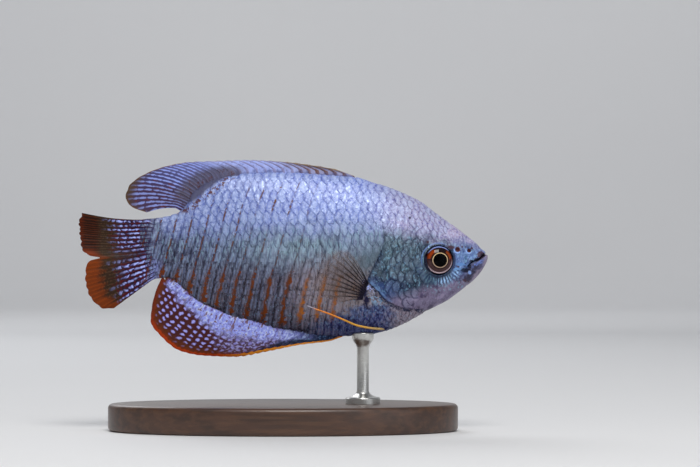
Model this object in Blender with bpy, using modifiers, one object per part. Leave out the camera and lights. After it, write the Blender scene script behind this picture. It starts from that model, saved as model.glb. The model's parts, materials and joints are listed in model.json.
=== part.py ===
"""A dwarf gourami as a life-size display model: a male fish, 75 mm long, swimming level on a plain stand.

The head points along +X, the back along +Z, and the fish's right side faces -Y. The origin is the middle of
the underside of the stand's base. Outlines are given in millimetres from the fish's long axis, which runs
level at AXIS_HEIGHT above the floor, with zero halfway between the lower jaw's tip and the tail fin's edge.
"""

import math

import bmesh
import bpy
from mathutils import Matrix, Vector

MM = 0.001
GAP = 0.3 * MM  # left between two pieces that touch
AXIS_HEIGHT = 32.0 * MM


def metres(points):
    """The same table of numbers, from millimetres to metres."""
    return [tuple(value * MM for value in point) for point in points]


# Side outline of the flesh, without the fins: (along, height)
BACK_LINE = metres([
    (-23.2, 7.0), (-21.0, 7.4), (-19.4, 8.0), (-18.2, 9.2), (-16.9, 11.2), (-15.4, 12.9), (-12.9, 14.2),
    (-8.9, 15.0), (-3.8, 15.4), (1.2, 15.4), (6.2, 15.1), (13.2, 14.5), (17.4, 13.3), (21.5, 11.8), (25.4, 9.9),
    (28.0, 7.9), (31.2, 5.6), (33.9, 3.6), (35.5, 2.25), (36.3, 1.3), (36.8, 0.7), (37.3, 0.1), (37.45, -0.4),
])
BELLY_LINE = metres([
    (-23.2, -4.2), (-21.4, -4.2), (-19.6, -5.0), (-17.3, -7.3), (-15.0, -9.0), (-12.2, -10.3), (-9.4, -11.3),
    (-5.2, -12.4), (-2.0, -13.3), (2.0, -14.1), (6.0, -14.6), (10.5, -14.8), (14.2, -14.6), (17.4, -14.2),
    (21.0, -13.0), (24.5, -11.2), (26.4, -10.0), (28.0, -9.2), (30.1, -8.1), (31.6, -7.0), (33.8, -5.3),
    (35.0, -4.3), (36.2, -2.9), (37.0, -1.6), (37.35, -0.8), (37.45, -0.4),
])
# Plan outline: half the fish's thickness at its widest height
HALF_WIDTH = metres([
    (-23.2, 0.5), (-22.0, 0.9), (-19.6, 1.5), (-15.0, 2.2), (-9.0, 3.2), (-1.0, 4.2), (8.0, 4.8), (16.0, 5.0),
    (21.0, 4.9), (25.0, 4.5), (28.3, 3.9), (31.2, 3.2), (33.6, 2.45), (35.6, 1.75), (36.7, 1.2), (37.25, 0.7),
    (37.45, 0.0),
])
# Where between belly (0) and back (1) the fish is widest, and how sharply it narrows from there
WIDEST_SHARE = [(-23.2 * MM, 0.5), (0.0, 0.5), (14.0 * MM, 0.5), (24.0 * MM, 0.48), (33.0 * MM, 0.45), (37.6 * MM, 0.5)]
BACK_SHARPNESS = [(-23.2 * MM, 0.4), (-14.0 * MM, 0.62), (10.0 * MM, 0.62), (26.0 * MM, 0.52), (37.6 * MM, 0.46)]
BELLY_SHARPNESS = [(-23.2 * MM, 0.4), (-14.0 * MM, 0.8), (0.0, 0.78), (12.0 * MM, 0.6), (22.0 * MM, 0.5), (37.6 * MM, 0.46)]

# How the loft's rings are spread: (share of the way from snout to tail, place along the fish)
RING_PLACES = [(0.0, 37.45 * MM), (0.04, 37.2 * MM), (0.1, 36.4 * MM), (0.24, 32.6 * MM), (0.45, 24.0 * MM),
               (0.62, 12.0 * MM), (0.8, -6.0 * MM), (0.95, -20.8 * MM), (0.98, -23.17 * MM), (1.0, -23.2 * MM)]
RINGS = 50
RING_POINTS = 28
TAIL_END = -23.2 * MM

# Gill opening, from the nape down behind the gill cover to the throat: (along, height)
GILL_LINE = metres([
    (15.4, 18.0), (16.4, 13.0), (17.6, 7.5), (18.4, 2.7), (17.5, 0.4), (15.9, -2.9), (15.3, -4.4), (16.6, -6.2),
    (18.9, -8.3), (21.0, -9.3), (22.8, -9.75), (25.4, -10.0), (27.2, -10.6), (29.0, -13.0),
])
GILL_COVER = metres([
    (17.0, 3.1), (19.4, 3.6), (21.8, 3.2), (23.8, 1.5), (24.7, -1.2), (24.7, -4.2), (24.5, -6.6), (24.9, -8.8),
    (24.0, -10.6), (20.0, -10.4), (16.0, -7.4), (13.6, -4.4), (15.6, 0.4),
])
GILL_COVER_INNER = 2.9 * MM  # how far from the middle the gill cover's inner face lies
GILL_RISE = 0.4 * MM  # how far the gill cover stands proud of the shoulder behind it
GILL_CENTRE = Vector((19.6 * MM, 0.0, -2.6 * MM))
GILL_REACH = Vector((7.5 * MM, 1.0, 9.5 * MM))
# Where the tail stem starts behind the torso
STEM_LINE = metres([(-17.2, 20.0), (-18.6, 9.0), (-19.3, 3.0), (-19.7, -2.0), (-19.2, -6.0), (-17.6, -20.0)])

# Mouth, from in front of the lips back to its corner, and on behind the lower jaw to the chin
MOUTH_LINE = metres([(39.0, 1.2), (37.3, 0.45), (36.6, 0.1), (36.0, -0.4), (35.2, -0.85), (34.4, -1.2), (33.8, -1.8),
                     (33.2, -2.7)])
JAW_BACK_LINE = metres([(33.2, -2.7), (33.15, -4.0), (33.5, -5.2), (34.0, -9.0)])
LIP_RADIUS = 0.42 * MM
LIP_OFFSET = 0.5 * MM  # from the mouth line to the middle of each lip
UPPER_LIP_FRONT = 37.1 * MM
LOWER_LIP_FRONT = 37.6 * MM

EYE_CENTRE = (28.35 * MM, -0.75 * MM)  # along, height
EYE_RADIUS = 2.65 * MM
EYE_DEPTH = 1.55 * MM  # half the eyeball's thickness across the fish
EYE_SINK = 0.75 * MM  # from the cheek's surface in to the eyeball's middle
EYE_TURN = math.radians(12)  # how far each eye looks ahead of straight sideways
ORBIT_RIM = 0.28 * MM
NOSTRILS = metres([(31.85, 1.2), (33.95, 1.0)])
NOSTRIL_RADIUS = 0.34 * MM
NOSTRIL_RIM = 0.16 * MM
NOSTRIL_DEPTH = 0.7 * MM

# Fin blades: thinnest stretch of skin, and the rays that stand out of it
MEMBRANE = 0.5 * MM
RAY_ROOT = 1.0 * MM
RAY_TIP = 0.62 * MM
EDGE_THICKNESS = 0.32 * MM
RAY_SPREAD = 0.28  # half a ray's width, as a share of the distance to the next ray

# Each ray: (share along the fin, root's place along the back, tip along, tip height)
DORSAL_RAYS = [
    (0.0, 13.4, 12.5, 15.35), (0.1, 9.2, 6.4, 16.3), (0.25, 3.6, 0.0, 17.2), (0.4, -2.2, -6.0, 17.55),
    (0.55, -8.0, -12.2, 17.4), (0.65, -11.8, -17.0, 17.2), (0.74, -14.6, -21.4, 16.4), (0.82, -16.3, -25.6, 14.8),
    (0.88, -17.2, -28.2, 12.7), (0.93, -17.8, -28.8, 10.6), (0.97, -18.3, -27.4, 8.8), (1.0, -18.8, -24.9, 7.95),
]
ANAL_RAYS = [
    (0.0, 11.0, 10.2, -15.4), (0.15, 5.6, 3.5, -16.1), (0.3, 0.4, -2.5, -17.1), (0.45, -4.8, -8.2, -18.15),
    (0.6, -10.0, -14.6, -17.85), (0.7, -13.2, -18.8, -17.0), (0.79, -15.9, -22.3, -14.7), (0.87, -18.0, -24.2, -11.8),
    (0.93, -19.6, -24.2, -8.9), (0.97, -20.8, -23.7, -6.6), (1.0, -21.8, -23.0, -5.0),
]
DORSAL_RAY_COUNT = 25  # 16 spines, then 9 soft rays
ANAL_RAY_COUNT = 30
SPINE_SHARE = 0.66  # the front part of the dorsal and anal fins, where spine tips stand out of the edge
SPINE_TIP = 0.3 * MM
# Tail fin rays: (share from the top edge down, root height, tip along, tip height)
TAIL_RAYS = [
    (0.0, 6.7, -36.9, 7.9), (0.08, 5.9, -37.5, 6.4), (0.3, 3.4, -37.3, 3.4), (0.44, 1.9, -36.7, 0.9),
    (0.5, 1.2, -35.4, 0.05), (0.53, 0.9, -33.6, -0.35), (0.56, 0.6, -35.2, -0.85), (0.6, 0.1, -36.2, -2.0),
    (0.74, -1.5, -36.1, -5.4), (0.86, -2.8, -35.0, -8.0), (0.94, -3.6, -33.0, -9.7), (1.0, -4.1, -31.0, -9.6),
]
TAIL_RAY_COUNT = 17
# Pectoral fin rays: (share from the top ray down, root along and height, tip along and height)
PECTORAL_RAYS = [
    (0.0, 15.6, -4.9, 9.6, 0.6), (0.2, 15.5, -5.5, 7.2, -0.6), (0.4, 15.3, -6.1, 6.0, -2.6),
    (0.6, 15.2, -6.7, 5.6, -4.8), (0.8, 15.0, -7.3, 6.1, -6.9), (1.0, 14.9, -7.9, 8.0, -8.4),
]
PECTORAL_RAY_COUNT = 10
PECTORAL_SINK = 1.2 * MM  # how deep the root runs under the flank before it is trimmed
PECTORAL_FLARE = 1.6 * MM  # how far the fin's edge stands off the flank

# Thread-like pelvic fins: (along, height, distance off the flank)
FEELER_PATH = metres([
    (18.7, -13.3, -1.1), (17.9, -13.3, 0.1), (16.6, -13.2, 0.75), (13.8, -12.7, 1.1), (10.9, -11.5, 1.0),
    (8.2, -10.4, 0.95), (6.2, -9.7, 0.95), (4.4, -9.0, 1.0),
])
FEELER_RADIUS = 0.34 * MM
FEELER_TIP_SHARE = 0.45

BASE_LENGTH = 64.0 * MM
BASE_WIDTH = 36.0 * MM
BASE_THICKNESS = 5.0 * MM
BASE_BEVEL = 0.8 * MM
ROD_PLACE = 14.6 * MM  # along the fish, ahead of the anal fin
ROD_RADIUS = 1.1 * MM
ROD_HOLE_DEPTH = 3.0 * MM
FLANGE_RADIUS = 3.2 * MM
FLANGE_THICKNESS = 0.9 * MM
SADDLE_RADIUS = 2.0 * MM
SADDLE_RISE = 0.9 * MM  # how far the saddle reaches up round the keel of the belly

COLOURS = {  # base colour, roughness, metallic
    "skin": ((0.42, 0.52, 0.74), 0.35, 0.15),
    "head": ((0.36, 0.46, 0.66), 0.35, 0.15),
    "fin": ((0.45, 0.5, 0.8), 0.4, 0.0),
    "tail_fin": ((0.5, 0.2, 0.08), 0.4, 0.0),
    "feeler": ((0.85, 0.42, 0.08), 0.4, 0.0),
    "eye": ((0.3, 0.1, 0.03), 0.08, 0.0),
    "wood": ((0.07, 0.045, 0.03), 0.45, 0.0),
    "metal": ((0.62, 0.62, 0.6), 0.3, 1.0),
}


def clear_scene():
    """Removes what the scene holds."""
    for obj in list(bpy.data.objects):
        bpy.data.objects.remove(obj)


def profile(points):
    """A smooth function through (place, value) points that never overshoots between two of them."""
    places = [point[0] for point in points]
    values = [point[1] for point in points]
    rises = [(values[i + 1] - values[i]) / (places[i + 1] - places[i]) for i in range(len(points) - 1)]
    slopes = [rises[0]]
    for before, after in zip(rises, rises[1:]):
        slopes.append(0.0 if before * after <= 0 else 2 * before * after / (before + after))
    slopes.append(rises[-1])

    def at(place):
        place = min(max(place, places[0]), places[-1])
        i = max(k for k in range(len(places) - 1) if places[k] <= place)
        span = places[i + 1] - places[i]
        t = (place - places[i]) / span
        return (values[i] * (1 + 2 * t) * (1 - t) ** 2 + values[i + 1] * t * t * (3 - 2 * t)
                + span * slopes[i] * t * (1 - t) ** 2 - span * slopes[i + 1] * t * t * (1 - t))

    return at


back = profile(BACK_LINE)
belly = profile(BELLY_LINE)
half_width = profile(HALF_WIDTH)
widest_share = profile(WIDEST_SHARE)
back_sharpness = profile(BACK_SHARPNESS)
belly_sharpness = profile(BELLY_SHARPNESS)
ring_place = profile(RING_PLACES)


def section_point(along, turn, margin=0.0, gill_rise=0.0):
    """A point of the flesh's surface: turn is 0 on the left flank and a quarter turn on the back.

    margin swells the whole surface, and gill_rise adds the bulge of the gill covers.
    """
    low, high = belly(along) - margin, back(along) + margin
    middle = low + (high - low) * widest_share(along)
    up, out = math.sin(turn), math.cos(turn)
    sharpness = back_sharpness(along) if up > 0 else belly_sharpness(along)
    height = middle + up * ((high - middle) if up > 0 else (middle - low))
    half = (half_width(along) + margin) * abs(out) ** (2 * sharpness)
    half += gill_bulge(along, height, gill_rise) * min(1.0, 2 * abs(out))
    return Vector((along, math.copysign(half, out), height))


def gill_bulge(along, height, rise):
    """How far the gill cover lifts the surface at a place of the side view."""
    far = ((along - GILL_CENTRE.x) / GILL_REACH.x) ** 2 + ((height - GILL_CENTRE.z) / GILL_REACH.z) ** 2
    return rise * max(0.0, 1 - far) ** 0.5


def flank(along, height):
    """Half the flesh's thickness at a place of the side view, without the gill cover's bulge."""
    low, high = belly(along), back(along)
    middle = low + (high - low) * widest_share(along)
    reach = (high - middle) if height > middle else (middle - low)
    share = min(1.0, abs(height - middle) / reach)
    sharpness = back_sharpness(along) if height > middle else belly_sharpness(along)
    return half_width(along) * (1 - share * share) ** sharpness


def material(name):
    """The named finish as a Principled material."""
    made = bpy.data.materials.get(name)
    if made:
        return made
    colour, roughness, metallic = COLOURS[name]
    made = bpy.data.materials.new(name)
    made.use_nodes = True
    shader = made.node_tree.nodes["Principled BSDF"]
    shader.inputs["Base Color"].default_value = (*colour, 1.0)
    shader.inputs["Roughness"].default_value = roughness
    shader.inputs["Metallic"].default_value = metallic
    return made


def collection(name):
    """A collection of the scene, made when it is first asked for."""
    found = bpy.data.collections.get(name)
    if not found:
        found = bpy.data.collections.new(name)
        bpy.context.scene.collection.children.link(found)
    return found


def add_object(name, bm, finish=None):
    """Makes an object of a bmesh that was modelled about the fish's axis, and frees the bmesh."""
    mesh = bpy.data.meshes.new(name)
    bmesh.ops.translate(bm, vec=(0, 0, AXIS_HEIGHT), verts=bm.verts)
    bm.to_mesh(mesh)
    bm.free()
    obj = bpy.data.objects.new(name, mesh)
    if finish:
        mesh.materials.append(material(finish))
        collection("dwarf_gourami").objects.link(obj)
    else:
        obj.hide_render = True
        obj.display_type = "WIRE"
        collection("cutters").objects.link(obj)
    return obj


def shade(obj, angle=40):
    """Smooth shading, with edges sharper than the angle kept."""
    obj.data.shade_smooth()
    obj.data.set_sharp_from_angle(angle=math.radians(angle))


def settle(obj):
    """Applies the object's modifiers to its mesh."""
    graph = bpy.context.evaluated_depsgraph_get()
    mesh = bpy.data.meshes.new_from_object(obj.evaluated_get(graph))
    obj.modifiers.clear()
    old, obj.data = obj.data, mesh
    bpy.data.meshes.remove(old)


def combine(obj, others, operation):
    """Joins, cuts or intersects the object with others, each one closed mesh, and removes them."""
    for other in others:
        change = obj.modifiers.new(operation.lower(), "BOOLEAN")
        change.operation = operation
        change.solver = "EXACT"
        change.object = other
    settle(obj)
    for other in others:
        bpy.data.objects.remove(other)


def keep_island(obj, seed=None):
    """Keeps the one closed surface of the mesh that lies nearest the seed, or else the largest."""
    bm = bmesh.new()
    bm.from_mesh(obj.data)
    islands, left = [], set(bm.verts)
    while left:
        island, edge = set(), [left.pop()]
        while edge:
            vert = edge.pop()
            island.add(vert)
            near = {link.other_vert(vert) for link in vert.link_edges} & left
            left -= near
            edge.extend(near)
        islands.append(island)
    if seed is None:
        kept = max(islands, key=len)
    else:
        target = seed + Vector((0, 0, AXIS_HEIGHT))
        kept = min(islands, key=lambda island: min((vert.co - target).length for vert in island))
    bmesh.ops.delete(bm, geom=[vert for vert in bm.verts if vert not in kept], context="VERTS")
    bm.to_mesh(obj.data)
    bm.free()


def body_form(name, finish=None, margin=0.0, gill_rise=0.0):
    """The whole of the flesh as one closed loft: a ball whose rings become the fish's sections."""
    bm = bmesh.new()
    bmesh.ops.create_uvsphere(bm, u_segments=RING_POINTS, v_segments=RINGS, radius=1.0)
    for vert in bm.verts:
        left, up, ahead = vert.co
        share = math.acos(max(-1.0, min(1.0, ahead))) / math.pi
        along = ring_place(share)
        if share < 0.001 or share > 0.999:
            middle = belly(along) + (back(along) - belly(along)) * widest_share(along)
            vert.co = Vector((along + math.copysign(margin, ahead), 0.0, middle))
            continue
        vert.co = section_point(along, math.atan2(up, left), margin, gill_rise)
    return add_object(name, bm, finish)


def prism(name, outline, low, high):
    """The side-view outline as a solid that reaches from low to high across the fish."""
    curve = bpy.data.curves.new(name, "CURVE")
    curve.dimensions = "2D"
    curve.fill_mode = "BOTH"
    curve.extrude = (high - low) / 2
    spline = curve.splines.new("POLY")
    spline.points.add(len(outline) - 1)
    for point, (along, height) in zip(spline.points, outline):
        point.co = (along, height, 0.0, 1.0)
    spline.use_cyclic_u = True
    drawn = bpy.data.objects.new(name, curve)
    collection("cutters").objects.link(drawn)
    bpy.context.view_layer.update()
    graph = bpy.context.evaluated_depsgraph_get()
    bm = bmesh.new()
    bm.from_mesh(bpy.data.meshes.new_from_object(drawn.evaluated_get(graph)))
    bpy.data.objects.remove(drawn)
    bmesh.ops.remove_doubles(bm, verts=bm.verts, dist=GAP / 100)
    stand_up = Matrix.Rotation(math.radians(90), 4, "X")
    place = Matrix.Translation((0, (low + high) / 2, 0))
    bmesh.ops.transform(bm, matrix=place @ stand_up, verts=bm.verts)
    bmesh.ops.recalc_face_normals(bm, faces=bm.faces)
    return add_object(name, bm)


def eased(line, steps=3, closed=False):
    """A finer and rounder line through the points of a side-view line."""
    points = [*line[-2:], *line, *line[:3]] if closed else line
    first, last = (2, len(line) + 2) if closed else (0, len(line) - 1)
    along = profile([(i, point[0]) for i, point in enumerate(points)])
    height = profile([(i, point[1]) for i, point in enumerate(points)])
    count = (last - first) * steps
    places = [first + k / steps for k in range(count if closed else count + 1)]
    return [(along(place), height(place)) for place in places]


def shifted(line, distance, closed=False):
    """The side-view line moved sideways by the distance, to the left of its direction."""
    moved = []
    for i, point in enumerate(line):
        before = line[i - 1] if i or closed else point
        after = line[(i + 1) % len(line)] if i + 1 < len(line) or closed else point
        way = (Vector(after) - Vector(before)).normalized()
        moved.append((point[0] - way.y * distance, point[1] + way.x * distance))
    return moved


def wall(name, line, low=-20 * MM, high=20 * MM):
    """A cutter one gap thick that follows the side-view line right through the fish."""
    line = eased(line)
    return prism(name, shifted(line, GAP / 2) + shifted(line, -GAP / 2)[::-1], low, high)


def eye_form(name, side, margin, segments, rings, finish=None):
    """The eyeball of one side as an ellipsoid that looks out and a little ahead, swelled by the margin."""
    bm = bmesh.new()
    bmesh.ops.create_uvsphere(bm, u_segments=segments, v_segments=rings, radius=1.0)
    bmesh.ops.rotate(bm, matrix=Matrix.Rotation(math.radians(90), 3, "X"), verts=bm.verts)
    bmesh.ops.scale(bm, vec=(EYE_RADIUS + margin, EYE_DEPTH + margin, EYE_RADIUS + margin), verts=bm.verts)
    bmesh.ops.rotate(bm, matrix=Matrix.Rotation(-side * EYE_TURN, 3, "Z"), verts=bm.verts)
    bmesh.ops.translate(bm, vec=eye_middle(side), verts=bm.verts)
    return add_object(name, bm, finish)


def tube(name, path, radii, sides=8):
    """A round bar along the points, each with its own radius and closed ends, as a cutter or a joined piece."""
    curve = bpy.data.curves.new(name, "CURVE")
    curve.dimensions = "3D"
    curve.bevel_depth = 1.0
    curve.bevel_resolution = sides // 4
    curve.use_fill_caps = True
    curve.resolution_u = 1
    spline = curve.splines.new("POLY")
    spline.points.add(len(path) - 1)
    for point, place, radius in zip(spline.points, path, radii):
        point.co = (*place, 1.0)
        point.radius = radius
    drawn = bpy.data.objects.new(name, curve)
    collection("cutters").objects.link(drawn)
    bpy.context.view_layer.update()
    graph = bpy.context.evaluated_depsgraph_get()
    bm = bmesh.new()
    bm.from_mesh(bpy.data.meshes.new_from_object(drawn.evaluated_get(graph)))
    bpy.data.objects.remove(drawn)
    bmesh.ops.remove_doubles(bm, verts=bm.verts, dist=GAP / 100)
    bmesh.ops.recalc_face_normals(bm, faces=bm.faces)
    return add_object(name, bm)


def ring(name, side, along, height, radius, thickness, segments=20):
    """A raised ring on the cheek, lying on the skin round an eye or a nostril."""
    turns = [2 * math.pi * k / segments for k in range(segments)]
    bm = bmesh.new()
    loops = []
    for turn in turns:
        out = Vector((math.cos(turn), 0.0, math.sin(turn)))
        x, z = along + out.x * radius, height + out.z * radius
        middle = Vector((x, side * (flank(x, z) + gill_bulge(x, z, GILL_RISE)), z))
        circle = bmesh.ops.create_circle(bm, segments=6, radius=thickness)["verts"]
        across = Vector((0, side, 0))
        for vert in circle:
            vert.co = middle + out * vert.co.x + across * vert.co.y
        loops.append(circle)
    for here, after in zip(loops, loops[1:] + loops[:1]):
        edges = [edge for edge in bm.edges if edge.verts[0] in here and edge.verts[1] in here]
        edges += [edge for edge in bm.edges if edge.verts[0] in after and edge.verts[1] in after]
        bmesh.ops.bridge_loops(bm, edges=edges)
    bmesh.ops.recalc_face_normals(bm, faces=bm.faces)
    return add_object(name, bm)


def lip(name, direction, front):
    """One lip: a bar that follows the mouth line round the snout, above it (+1) or below it (-1)."""
    line = shifted(MOUTH_LINE[1:], -direction * LIP_OFFSET)
    course = profile([(i / (len(line) - 1), point[0]) for i, point in enumerate(line)])
    rise = profile([(i / (len(line) - 1), point[1]) for i, point in enumerate(line)])
    path, radii = [], []
    for share in (0.85, 0.68, 0.5, 0.32, 0.16):
        x, z = min(course(share), front - LIP_RADIUS), rise(share)
        path.append(Vector((x, -0.9 * flank(x, z), z)))
        radii.append(LIP_RADIUS * (1 - 0.55 * share))
    middle = Vector((front - 0.9 * LIP_RADIUS, 0.0, path[-1].z))
    mirrored = [Vector((point.x, -point.y, point.z)) for point in path[::-1]]
    return tube(name, [*path, middle, *mirrored], [*radii, 0.9 * LIP_RADIUS, *radii[::-1]])


def eye_middle(side):
    """The middle of the eyeball on one side: -1 is the fish's right."""
    along, height = EYE_CENTRE
    return Vector((along, side * (flank(along, height) + gill_bulge(along, height, GILL_RISE) - EYE_SINK), height))


def make_head():
    """The head with its upper lip, orbits and nostrils, without gill covers and lower jaw."""
    head = body_form("head", "head", gill_rise=GILL_RISE)
    rims, holes = [lip("upper_lip", 1, UPPER_LIP_FRONT)], []
    for side in (-1, 1):
        rims.append(ring("orbit_rim", side, *EYE_CENTRE, EYE_RADIUS + ORBIT_RIM, ORBIT_RIM))
        holes.append(eye_form("orbit", side, GAP, 24, 12))
        holes.append(prism("gill_seat", shifted(eased(GILL_COVER, closed=True), GAP, closed=True),
                           *sorted((side * (GILL_COVER_INNER - GAP), side * 12 * MM))))
        for along, height in NOSTRILS:
            rims.append(ring("nostril_rim", side, along, height, NOSTRIL_RADIUS + NOSTRIL_RIM / 2, NOSTRIL_RIM, 10))
            depth = flank(along, height)
            holes.append(tube("nostril", [Vector((along, side * (depth - NOSTRIL_DEPTH), height)),
                                          Vector((along, side * (depth + 1 * MM), height))],
                              [NOSTRIL_RADIUS] * 2))
    combine(head, rims, "UNION")
    combine(head, [wall("gill_cut", GILL_LINE), wall("mouth_cut", [*MOUTH_LINE, *JAW_BACK_LINE[1:]]), *holes],
            "DIFFERENCE")
    keep_island(head, Vector((30 * MM, 0, 6 * MM)))
    shade(head)


def make_gill_cover(side):
    """The gill cover of one side, a plate whose rear edge stands proud of the shoulder."""
    name = "gill_cover_right" if side < 0 else "gill_cover_left"
    cover = body_form(name, "head", gill_rise=GILL_RISE)
    combine(cover, [prism("cover_block", eased(GILL_COVER, closed=True),
                          *sorted((side * GILL_COVER_INNER, side * 12 * MM)))], "INTERSECT")
    combine(cover, [wall("gill_cut", GILL_LINE)], "DIFFERENCE")
    keep_island(cover, Vector((22 * MM, side * 5 * MM, -3 * MM)))
    shade(cover)


def make_lower_jaw():
    """The lower jaw with its lip."""
    jaw = body_form("lower_jaw", "head")
    combine(jaw, [lip("lower_lip", -1, LOWER_LIP_FRONT)], "UNION")
    combine(jaw, [wall("mouth_cut", [*MOUTH_LINE, *JAW_BACK_LINE[1:]])], "DIFFERENCE")
    keep_island(jaw, Vector((36 * MM, 0, -3 * MM)))
    shade(jaw)


def make_trunk():
    """The torso and the tail stem, parted by the thin cuts at the gill opening and the stem."""
    torso = body_form("torso", "skin")
    combine(torso, [wall("stem_cut", STEM_LINE), wall("gill_cut", GILL_LINE)], "DIFFERENCE")
    keep_island(torso, Vector((0, 0, 15 * MM)))
    shade(torso)
    stem = body_form("tail_stem", "skin")
    combine(stem, [wall("stem_cut", STEM_LINE)], "DIFFERENCE")
    keep_island(stem, Vector((-22 * MM, 0, 2 * MM)))
    shade(stem)


def ray_columns(count):
    """Where a fin's columns of points lie, as (share along the fin, is on a ray): foot, ridge and foot for each ray."""
    step = 1.0 / (count - 1)
    columns = []
    for i in range(count):
        if i:
            columns.append(((i - RAY_SPREAD) * step, False))
        columns.append((i * step, True))
        if i < count - 1:
            columns.append(((i + RAY_SPREAD) * step, False))
    return columns


def fin_blade(name, finish, ray_count, rows, place, tip_out=None):
    """A fin: one curved sheet with its rays as ridges, thick at the root and thin at the edge.

    place(share, reach) is the point at that share along the fin and that share of the way from root to edge.
    tip_out(share) is how far a ray's tip stands out of the edge there.
    """
    columns = ray_columns(ray_count)
    bm = bmesh.new()
    bmesh.ops.create_grid(bm, x_segments=len(columns) - 1, y_segments=rows, size=1.0)
    bmesh.ops.triangulate(bm, faces=bm.faces, quad_method="FIXED")
    weights = {}
    bm.verts.index_update()
    for vert in bm.verts:
        share, on_ray = columns[round((vert.co.x + 1) / 2 * (len(columns) - 1))]
        reach = (vert.co.y + 1) / 2
        vert.co = place(share, reach)
        at_edge = reach > 1 - 0.5 / rows
        if at_edge and on_ray and tip_out:
            vert.co += (vert.co - place(share, 0.9)).normalized() * tip_out(share)
        ray = RAY_ROOT + (RAY_TIP - RAY_ROOT) * reach
        flesh = MEMBRANE + (0.9 * RAY_ROOT - MEMBRANE) * max(0.0, 1 - 5 * reach)
        weights[vert.index] = EDGE_THICKNESS if at_edge else (ray if on_ray else flesh)
    blade = add_object(name, bm, finish)
    group = blade.vertex_groups.new(name="thickness")
    for index, thickness in weights.items():
        group.add([index], thickness / RAY_ROOT, "REPLACE")
    thicken = blade.modifiers.new("thicken", "SOLIDIFY")
    thicken.thickness = RAY_ROOT
    thicken.offset = 0.0
    thicken.vertex_group = group.name
    thicken.thickness_vertex_group = 0.0
    settle(blade)
    shade(blade, 60)
    return blade


def keel_point(line, along, outward):
    """The point one gap outside the back (+1) or belly (-1) line at a place along the fish."""
    step = 0.2 * MM
    way = Vector((2 * step, 0, line(along + step) - line(along - step))).normalized()
    out = Vector((-way.z, 0, way.x)) * outward
    return Vector((along, 0, line(along))) + out * GAP


def make_median_fin(name, rays, ray_count, rows, line, outward, sway):
    """The dorsal or the anal fin, rooted along the back or the belly line."""
    root = profile([(share, along * MM) for share, along, _, _ in rays])
    tip_along = profile([(share, along * MM) for share, _, along, _ in rays])
    tip_height = profile([(share, height * MM) for share, _, _, height in rays])

    def place(share, reach):
        base = keel_point(line, root(share), outward)
        tip = Vector((tip_along(share), 0, tip_height(share)))
        point = base.lerp(tip, reach)
        length = (tip - base).length
        point.z += outward * 0.06 * length * math.sin(math.pi * reach)
        point.y = sway * reach * reach * math.sin(math.pi * (2.1 * share - 0.4)) * min(1.0, length / (5 * MM))
        return point

    def tip_out(share):
        return SPINE_TIP if 0.03 < share < SPINE_SHARE else 0.0

    fin_blade(name, "fin", ray_count, rows, place, tip_out)


def make_tail_fin():
    """The tail fin, rooted on the flat end of the tail stem, with the slit between its two lobes."""
    root_height = profile([(share, height * MM) for share, height, _, _ in TAIL_RAYS])
    tip_along = profile([(share, along * MM) for share, _, along, _ in TAIL_RAYS])
    tip_height = profile([(share, height * MM) for share, _, _, height in TAIL_RAYS])

    def place(share, reach):
        base = Vector((TAIL_END - GAP, 0, root_height(share)))
        tip = Vector((tip_along(share), 0, tip_height(share)))
        point = base.lerp(tip, reach)
        point.z -= 0.5 * MM * math.sin(math.pi * reach) * (1 - share)
        point.y = 0.9 * MM * reach ** 1.5 * math.sin(math.pi * (2.2 * share + 0.1))
        return point

    fin_blade("tail_fin", "tail_fin", TAIL_RAY_COUNT, 7, place)


def make_pectoral_fin(side):
    """The pectoral fin of one side, a fan held a little off the flank."""
    curves = [profile([(ray[0], ray[k] * MM) for ray in PECTORAL_RAYS]) for k in range(1, 5)]

    def place(share, reach):
        root_along, root_height, tip_along, tip_height = (curve(share) for curve in curves)
        along = root_along + (tip_along - root_along) * reach
        height = root_height + (tip_height - root_height) * reach + 0.35 * MM * math.sin(math.pi * reach)
        root_out = flank(root_along, root_height) - PECTORAL_SINK
        tip_out = flank(tip_along, tip_height) + PECTORAL_FLARE
        out = root_out + (tip_out - root_out) * reach + 1.5 * MM * math.sin(math.pi * reach ** 0.8)
        return Vector((along, side * out, height))

    name = "pectoral_fin_right" if side < 0 else "pectoral_fin_left"
    blade = fin_blade(name, "fin", PECTORAL_RAY_COUNT, 7, place)
    combine(blade, [body_form("trim", margin=GAP)], "DIFFERENCE")
    keep_island(blade)
    shade(blade, 60)


def make_feeler(side):
    """The thread-like pelvic fin of one side, laid back along the belly."""
    name = "pelvic_feeler_right" if side < 0 else "pelvic_feeler_left"
    course = [profile([(i / (len(FEELER_PATH) - 1), point[k]) for i, point in enumerate(FEELER_PATH)])
              for k in range(3)]
    steps = 18
    path, radii = [], []
    for i in range(steps + 1):
        along, height, off = (curve(i / steps) for curve in course)
        path.append(Vector((along, side * (flank(along, height) + off), height)))
        radii.append(FEELER_RADIUS * (1 - (1 - FEELER_TIP_SHARE) * (i / steps) ** 2))
    feeler = tube(name, path, radii)
    combine(feeler, [body_form("trim", margin=GAP)], "DIFFERENCE")
    keep_island(feeler)
    feeler.hide_render = False
    feeler.display_type = "TEXTURED"
    collection("cutters").objects.unlink(feeler)
    collection("dwarf_gourami").objects.link(feeler)
    feeler.data.materials.append(material("feeler"))
    shade(feeler)


def make_eye(side):
    """The eyeball of one side."""
    name = "eye_right" if side < 0 else "eye_left"
    shade(eye_form(name, side, 0.0, 20, 12, "eye"))


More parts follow.
